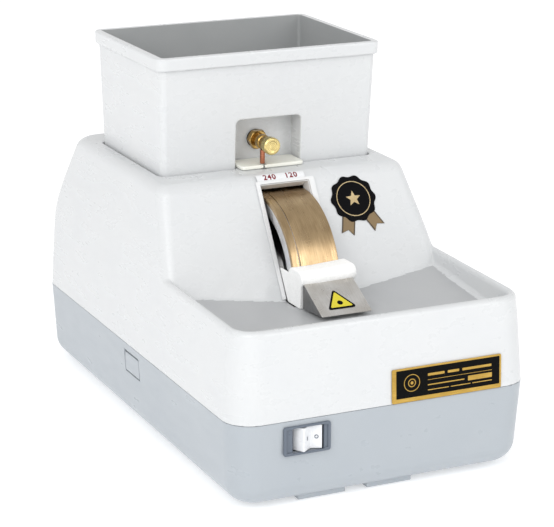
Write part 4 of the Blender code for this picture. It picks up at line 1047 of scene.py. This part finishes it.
def bent_over_edge(point):
    """Moves a point of a flat strip (x, along, proud) onto the sloping face and over the deck's edge."""
    x, along, proud = point
    up_face, out = face_axes(SLOPE_ANGLE)
    edge_share = math.tan((math.pi / 2 - SLOPE_ANGLE) / 2)
    flat = (DECK_UP - LABEL_UP) / math.cos(SLOPE_ANGLE) - DECK_ROUND * edge_share
    past = max(along - flat, 0.0) / DECK_ROUND
    foot = Vector((x, slope_back(LABEL_UP), LABEL_UP))
    centre = foot + up_face * min(along, flat) - out * DECK_ROUND
    direction = out * math.cos(past) + up_face * math.sin(past)
    return ORIGIN + centre + direction * (DECK_ROUND + proud)


def grit_label():
    """Paper strip with two numerals, bent over the rounded edge between the sloping face and the deck."""
    low, high = node_box("grit_label")
    strip = rectangle((low.x, 0.0002), (high.x, LABEL_HEIGHT), 0.0005)
    pieces = [slab("label_paper", strip, LABEL_THICK, lift(PROUD), LABEL_PAPER)]
    for text, share in (("240", 0.27), ("120", 0.72)):
        x = low.x + (high.x - low.x) * share
        spot = Matrix.Translation((x, LABEL_HEIGHT * 0.48, PROUD + LABEL_THICK))
        pieces.append(numerals("numeral_" + text, text, 0.0058, spot, LABEL_RED))
    bands = 14
    for piece in pieces:
        bm = bmesh.new()
        bm.from_mesh(piece.data)
        for band in range(1, bands):
            bmesh.ops.bisect_plane(bm, geom=bm.verts[:] + bm.edges[:] + bm.faces[:],
                                   plane_co=(0, LABEL_HEIGHT * band / bands, 0), plane_no=(0, 1, 0))
        for vert in bm.verts:
            vert.co = bent_over_edge(vert.co)
        bm.to_mesh(piece.data)
        bm.free()
    place(join("grit_numbers", pieces), "housing", "printed_label", "grit_label")


def badge():
    """Black scalloped disc with a thin gold ring and a star, and two notched ribbon ends."""
    matrix = slope_matrix(*BADGE_PLACE) @ lift(PROUD)
    lobes, lobe_depth, thick = 10, 0.0008, 0.0004
    scallops = around(160, lambda angle, k: BADGE_R + lobe_depth * math.cos(lobes * angle))
    star = around(10, lambda angle, k: 0.0027 if k % 2 else 0.0062, start_deg=90)
    pieces = [slab("badge_disc", scallops, thick, matrix, BLACK_PLASTIC, 0.0001),
              slab("badge_ring", circle((0, 0), 0.0136, 96), 0.00008, matrix @ lift(thick), BADGE_GOLD,
                   hole=circle((0, 0), 0.0130, 96)),
              slab("badge_star", star, 0.0001, matrix @ lift(thick), BADGE_GOLD, 0.00004)]
    place(join("award_rosette", pieces), "housing", "black_gold_plate", "award_badge")

    def tail_outline(half, length, notch):
        return [(-half, 0.0), (half, 0.0), (half, -length), (0.0, notch), (-half, -length)]

    half, length, notch = 0.0052, 0.0148, 0.0036
    tail = tail_outline(half, length, notch - length)
    inner = tail_outline(half * 0.8, length * 0.93, notch * 1.05 - length)
    for name, lean, x, y in (("ribbon_left", -16.0, -0.0068, -0.0126),
                             ("ribbon_right", 29.0, 0.0088, -0.0112)):
        turn = matrix @ Matrix.Translation((x, y, 0.0)) @ Matrix.Rotation(math.radians(lean), 4, "Z")
        tail_pieces = [slab(name + "_back", tail, 0.00015, turn @ lift(-0.00005), RIBBON_DARK),
                       slab(name + "_front", inner, 0.00006, turn @ lift(0.0001), RIBBON_BROWN)]
        place(join(name, tail_pieces), "housing", "black_gold_plate")


def nameplate():
    """Black plate with a gold border; plain rings and bars stand where a maker would print."""
    low_up = SEAM_UP + 0.0004
    matrix = face_matrix((NAMEPLATE_LEFT, front_face(low_up), low_up), FRONT_TILT) @ lift(PROUD)
    width, height = NAMEPLATE_SIZE
    border, field, ink = 0.0008, 0.00012, 0.00006
    border_outline = rectangle((0, 0), (width, height), 0.0012)
    field_outline = rectangle((0.0032, 0.0030), (width - 0.0014, height - 0.0013), 0.0004)
    pieces = [slab("plate_border", border_outline, border, matrix, PLATE_GOLD, 0.0002),
              slab("plate_field", field_outline, field, matrix @ lift(border), PLATE_BLACK, 0.00004)]
    face = matrix @ lift(border + field)
    centre = (0.0152, 0.0134)
    for reach, wide in ((0.0062, 0.0005), (0.0030, 0.0006)):
        pieces.append(slab("plate_ring", circle(centre, reach, 72), ink, face, PLATE_GOLD,
                           hole=circle(centre, reach - wide, 72)))
    pieces.append(slab("plate_dot", circle(centre, 0.0011, 24), ink, face, PLATE_GOLD))
    # rows of bars: how far up, how tall, and where each bar starts and ends
    rows = [(0.0166, 0.0018, ((0.0275, 0.0405), (0.0430, 0.0520), (0.0545, 0.0776))),
            (0.0137, 0.0003, ((0.0275, 0.0780),)),
            (0.0098, 0.0008, ((0.0275, 0.0562),)),
            (0.0087, 0.0034, ((0.0590, 0.0780),)),
            (0.0062, 0.0006, ((0.0275, 0.0440), (0.0455, 0.0610), (0.0625, 0.0780)))]
    for up, tall, spans in rows:
        for start, end in spans:
            bar = rectangle((start, up), (end, up + tall), min(0.0005, tall / 3))
            pieces.append(slab("plate_bar", bar, ink, face, PLATE_GOLD))
    place(join("maker_plate", pieces), "housing", "black_gold_plate", "nameplate")


# ---- tap ----
def hexagon_nut(name, middle, axis, across, thickness, bore, mat):
    """Six-sided nut with its corners turned off at both faces."""
    corner_r = across / math.sqrt(3)
    turn = Vector(axis).to_track_quat("Z", "Y").to_matrix().to_4x4()
    matrix = Matrix.Translation(ORIGIN + Vector(middle)) @ turn @ lift(-thickness / 2)
    nut = slab(name, circle((0, 0), corner_r, 6), thickness, matrix, mat, hole=circle((0, 0), bore))
    cone_r, flat_r = corner_r + 0.0002, across * 0.49
    profile = [(0.0, thickness), (flat_r, thickness), (cone_r, thickness * 0.78), (cone_r, thickness * 0.22),
               (flat_r, 0.0), (0.0, 0.0)]
    cone = turned(name + "_chamfer", profile, Vector(middle) - Vector(axis) * thickness / 2, axis, mat)
    cut = nut.modifiers.new("chamfer", "BOOLEAN")
    cut.operation = "INTERSECT"
    cut.object = cone
    apply_modifiers(nut)
    bpy.data.objects.remove(cone)
    shade(nut, 25.0)
    return nut


def tap():
    """Nut on the recess wall, grooved barrel through it, drip spout below and the needle's knob in front."""
    nut = hexagon_nut("packing_nut", (TAP_X, RECESS_BACK - 0.0046, TAP_UP), TOWARD, 0.0135, 0.0054, 0.0042,
                      BRASS)
    place(nut, "tank", "brass", "tap_nut")
    start = RECESS_BACK + TANK_WALL + 0.0060
    length = start - 0.1872
    bore, thread, waist, collar = 0.0021, 0.0039, 0.0044, 0.0056
    nut_end = start - (RECESS_BACK - 0.0075)
    profile = [(bore, length), (collar, length), (collar, length - 0.0036), (waist, length - 0.0044),
               (waist, length - 0.0066), (collar, length - 0.0074), (collar, length - 0.0120),
               (waist, length - 0.0128), (waist, nut_end + 0.0002), (thread, nut_end), (thread, 0.0),
               (bore, 0.0)]
    body = turned("tap_barrel", fillet(profile, 0.0005), (TAP_X, start, TAP_UP), TOWARD, BRASS, 72,
                  closed=True)
    place(body, "tank", "brass", "tap_body")
    spout_low, outer, inner = 0.1890, 0.00185, 0.0011
    spout_length = TAP_UP - 0.0041 - spout_low
    tube = fillet([(outer, spout_length), (outer, 0.0), (inner, 0.0), (inner, spout_length)], 0.0003)
    spout = turned("drip_spout", tube, (SPOUT_X, SPOUT_BACK, spout_low), UPWARD, COPPER, 48, closed=True)
    place(spout, "tank", "copper", "tap_spout")
    rounded = fillet([(0.0, 0.0074), (0.0035, 0.0074), (0.0052, 0.0078), (0.0065, 0.0070), (0.0065, 0.0012),
                      (0.0058, 0.0004), (0.0046, 0.0), (0.0019, 0.0), (0.0019, 0.0034), (0.0, 0.0034)],
                     0.0005, 3, closed=False)
    knob = turned("needle_knob", rounded, (TAP_X, 0.1869, TAP_UP), TOWARD, BRASS_FACE, 96)
    place(knob, "knob", "brass", "tap_knob")


def shelf_field(x, back, up):
    """Rounded board with a notch for the spout."""
    low, high = node_box("drip_shelf")
    middle, half = (low.x + high.x) / 2, (high.x - low.x) / 2
    plan = plan_distance(x - middle, back, half, low.y, high.y, 0.003)
    board = round_max(plan, between(up, low.z, high.z), 0.0009)
    return round_max(board, 0.003 - np.hypot(x - SPOUT_X, back - SPOUT_BACK), 0.0004)


def shelf():
    board = solid_from_field("drip_board", shelf_field, *node_box("drip_shelf"), 0.0005, 0.3,
                             [CREAM_PLASTIC])
    place(board, "housing", "cream_plastic", "drip_shelf")


# ---- switch, feet and drain ----
def switch_field(x, back, up):
    """Bezel with a stepped rim round a deep pocket, and the snap-in body behind it."""
    face = front_face(SWITCH_UP)
    bezel_plan = plan_distance(x - SWITCH_X, up, SWITCH_HALF[0], SWITCH_UP - SWITCH_HALF[1],
                               SWITCH_UP + SWITCH_HALF[1], 0.0018)
    rim = round_max(bezel_plan, between(back, face - 0.0022, face - 0.0003), 0.0007)
    body_plan = plan_distance(x - SWITCH_X, up, 0.0149, SWITCH_UP - 0.0089, SWITCH_UP + 0.0089, 0.0006)
    body = np.maximum(body_plan, between(back, face - 0.0008, 0.030))
    step = np.maximum(bezel_plan + 0.0022, back - face + 0.0014)
    left, right = POCKET_SIDES
    pocket_plan = plan_distance(x - SWITCH_X - (left + right) / 2, up, (right - left) / 2,
                                SWITCH_UP - POCKET_HALF_UP, SWITCH_UP + POCKET_HALF_UP, 0.0006)
    pocket = np.maximum(pocket_plan, back - 0.016)
    return round_max(round_max(np.minimum(rim, body), -step, 0.0002), -pocket, 0.0003)


def switch():
    """Grey switch frame and the white rocker in it, marked with a bar and a ring."""
    housing = solid_from_field("switch_frame", switch_field, *node_box("switch_body"), 0.0005, 0.25,
                               [GREY_PLASTIC])
    place(housing, "housing", "grey_plastic", "switch_body")
    tall, root, middle = 0.0166, 0.0050, 0.0034
    left_tip, right_tip, reach, valley = -0.0044, 0.0103, 0.0068, 0.0030
    outline = [(left_tip, -reach), (middle - 0.0006, -valley), (middle + 0.0006, -valley),
               (right_tip, -reach), (0.0120, 0.0015), (0.0105, root), (0.0030, root + 0.0030),
               (-0.0030, root + 0.0030), (-0.0070, root), (-0.0082, 0.0015)]
    matrix = Matrix.Translation(ORIGIN + Vector((SWITCH_X, 0.0045, SWITCH_UP - tall / 2)))
    matrix = matrix @ Matrix.Rotation(ROCKER_TILT, 4, "Z")
    rocker = slab("rocker_cap", fillet(outline, 0.0007, 3), tall, matrix, ROCKER_WHITE, 0.0004)
    pieces = [rocker]
    for side, tip, outer in ((-1, left_tip, rectangle((-0.0003, -0.0014), (0.0003, 0.0014))),
                             (1, right_tip, circle((0, 0), 0.0014, 32))):
        fall = math.atan2(reach - valley, abs(tip - middle) - 0.0006)
        spot = Vector(((tip + middle) / 2, -(reach + valley) / 2, tall / 2))
        normal = Vector((side * math.sin(fall) * -1, -math.cos(fall), 0.0))
        across = Vector((math.cos(fall), -math.sin(fall) * side, 0.0))
        rows = Matrix((across, Vector(UPWARD), normal)).transposed().to_4x4()
        on_face = matrix @ Matrix.Translation(spot) @ rows @ lift(0.0001)
        pieces.append(slab("rocker_mark", outer, 0.00008, on_face, GREY_PLASTIC,
                           hole=circle((0, 0), 0.0009, 32) if side > 0 else None))
    place(join("rocker_paddle", pieces), "rocker", "white_plastic", "switch_rocker")


def feet():
    profile = [(0.0, -0.0003), (0.0085, -0.0003), (0.0095, 0.0006 - UNDERSIDE), (0.0089, -UNDERSIDE),
               (0.0045, -UNDERSIDE), (0.0040, 0.0008 - UNDERSIDE), (0.0, 0.0008 - UNDERSIDE)]
    rounded = fillet(profile, 0.0003, 2, closed=False)
    for node, x, back in FOOT_PLACES:
        pad = turned(node + "_pad", rounded, (x, back, 0.0), UPWARD, RUBBER, 48)
        place(pad, "housing", "rubber", node)


def drain():
    """Flanged spigot with three barbs for a hose."""
    low, high = node_box("drain_spigot")
    x, up = (low.x + high.x) / 2, (low.z + high.z) / 2
    profile = [(0.0036, 0.0260), (0.0052, 0.0250), (0.0043, 0.0215), (0.0052, 0.0205), (0.0043, 0.0170),
               (0.0045, 0.0140), (0.0095, 0.0140), (0.0095, 0.0115), (0.0060, 0.0115), (0.0060, 0.0),
               (0.0036, 0.0)]
    spigot = turned("hose_barb", fillet(profile, 0.0004), (x, high.y - 0.0260, up), AWAY, BLACK_PLASTIC,
                    64, closed=True)
    place(spigot, "housing", "black_plastic", "drain_spigot")


# ---- studio ----
def floor():
    """White floor with a faint glow of its own, so that it reads as the photo's white ground."""
    shader = FLOOR_WHITE.node_tree.nodes["Principled BSDF"]
    shader.inputs["Emission Color"].default_value = (1.0, 1.0, 1.0, 1.0)
    shader.inputs["Emission Strength"].default_value = 0.38
    half = 4.0
    corners = [(-half, -half, 0.0), (half, -half, 0.0), (half, half, 0.0), (-half, half, 0.0)]
    mesh_object("floor", corners, [(0, 1, 2, 3)], [FLOOR_WHITE])


def soft_light(name, azimuth, elevation, distance, width, height, power):
    """Area light that looks at the object; azimuth 0 is in front and negative is to the left."""
    azimuth, elevation = math.radians(azimuth), math.radians(elevation)
    out = Vector((math.sin(azimuth) * math.cos(elevation), -math.cos(azimuth) * math.cos(elevation),
                  math.sin(elevation)))
    data = bpy.data.lights.new(name, "AREA")
    data.shape = "RECTANGLE"
    data.size, data.size_y = width, height
    data.energy = power
    light = linked(name, data)
    light.location = AIM + out * distance
    light.rotation_euler = out.to_track_quat("Z", "Y").to_euler()


def studio():
    """White room, dimmer overhead than at the horizon, with soft lights in front."""
    world = bpy.data.worlds.new("studio")
    world.use_nodes = True
    nodes, links = world.node_tree.nodes, world.node_tree.links
    split = nodes.new("ShaderNodeSeparateXYZ")
    ramp = nodes.new("ShaderNodeValToRGB")
    for element, (height, light) in zip(ramp.color_ramp.elements, WORLD_LIGHT):
        element.position = height
        element.color = (light, light, light, 1.0)
    links.new(nodes.new("ShaderNodeTexCoord").outputs["Generated"], split.inputs["Vector"])
    links.new(split.outputs["Z"], ramp.inputs["Fac"])
    links.new(ramp.outputs["Color"], nodes["Background"].inputs["Color"])
    bpy.context.scene.world = world
    bpy.context.scene.view_settings.view_transform = "Standard"
    for light in LIGHTS:
        soft_light(*light)


# ---- camera ----
def camera():
    data = bpy.data.cameras.new("camera")
    data.lens = CAMERA_LENS
    data.sensor_width = 36.0
    right = Vector((math.cos(CAMERA_AZIMUTH), math.sin(CAMERA_AZIMUTH), 0.0))
    back = Vector((math.sin(CAMERA_AZIMUTH) * math.cos(CAMERA_ELEVATION),
                   -math.cos(CAMERA_AZIMUTH) * math.cos(CAMERA_ELEVATION), math.sin(CAMERA_ELEVATION)))
    turn = Matrix((right, back.cross(right), back)).transposed().to_4x4()
    obj = linked("camera", data)
    obj.matrix_world = Matrix.Translation(AIM + back * CAMERA_DISTANCE) @ turn
    bpy.context.scene.camera = obj


for make in (housings, wheel, bezel, sponge, guard, caution_mark, grit_label, badge, nameplate, tap, shelf,
             switch, feet, drain, finish_frame, floor, studio, camera):
    make()
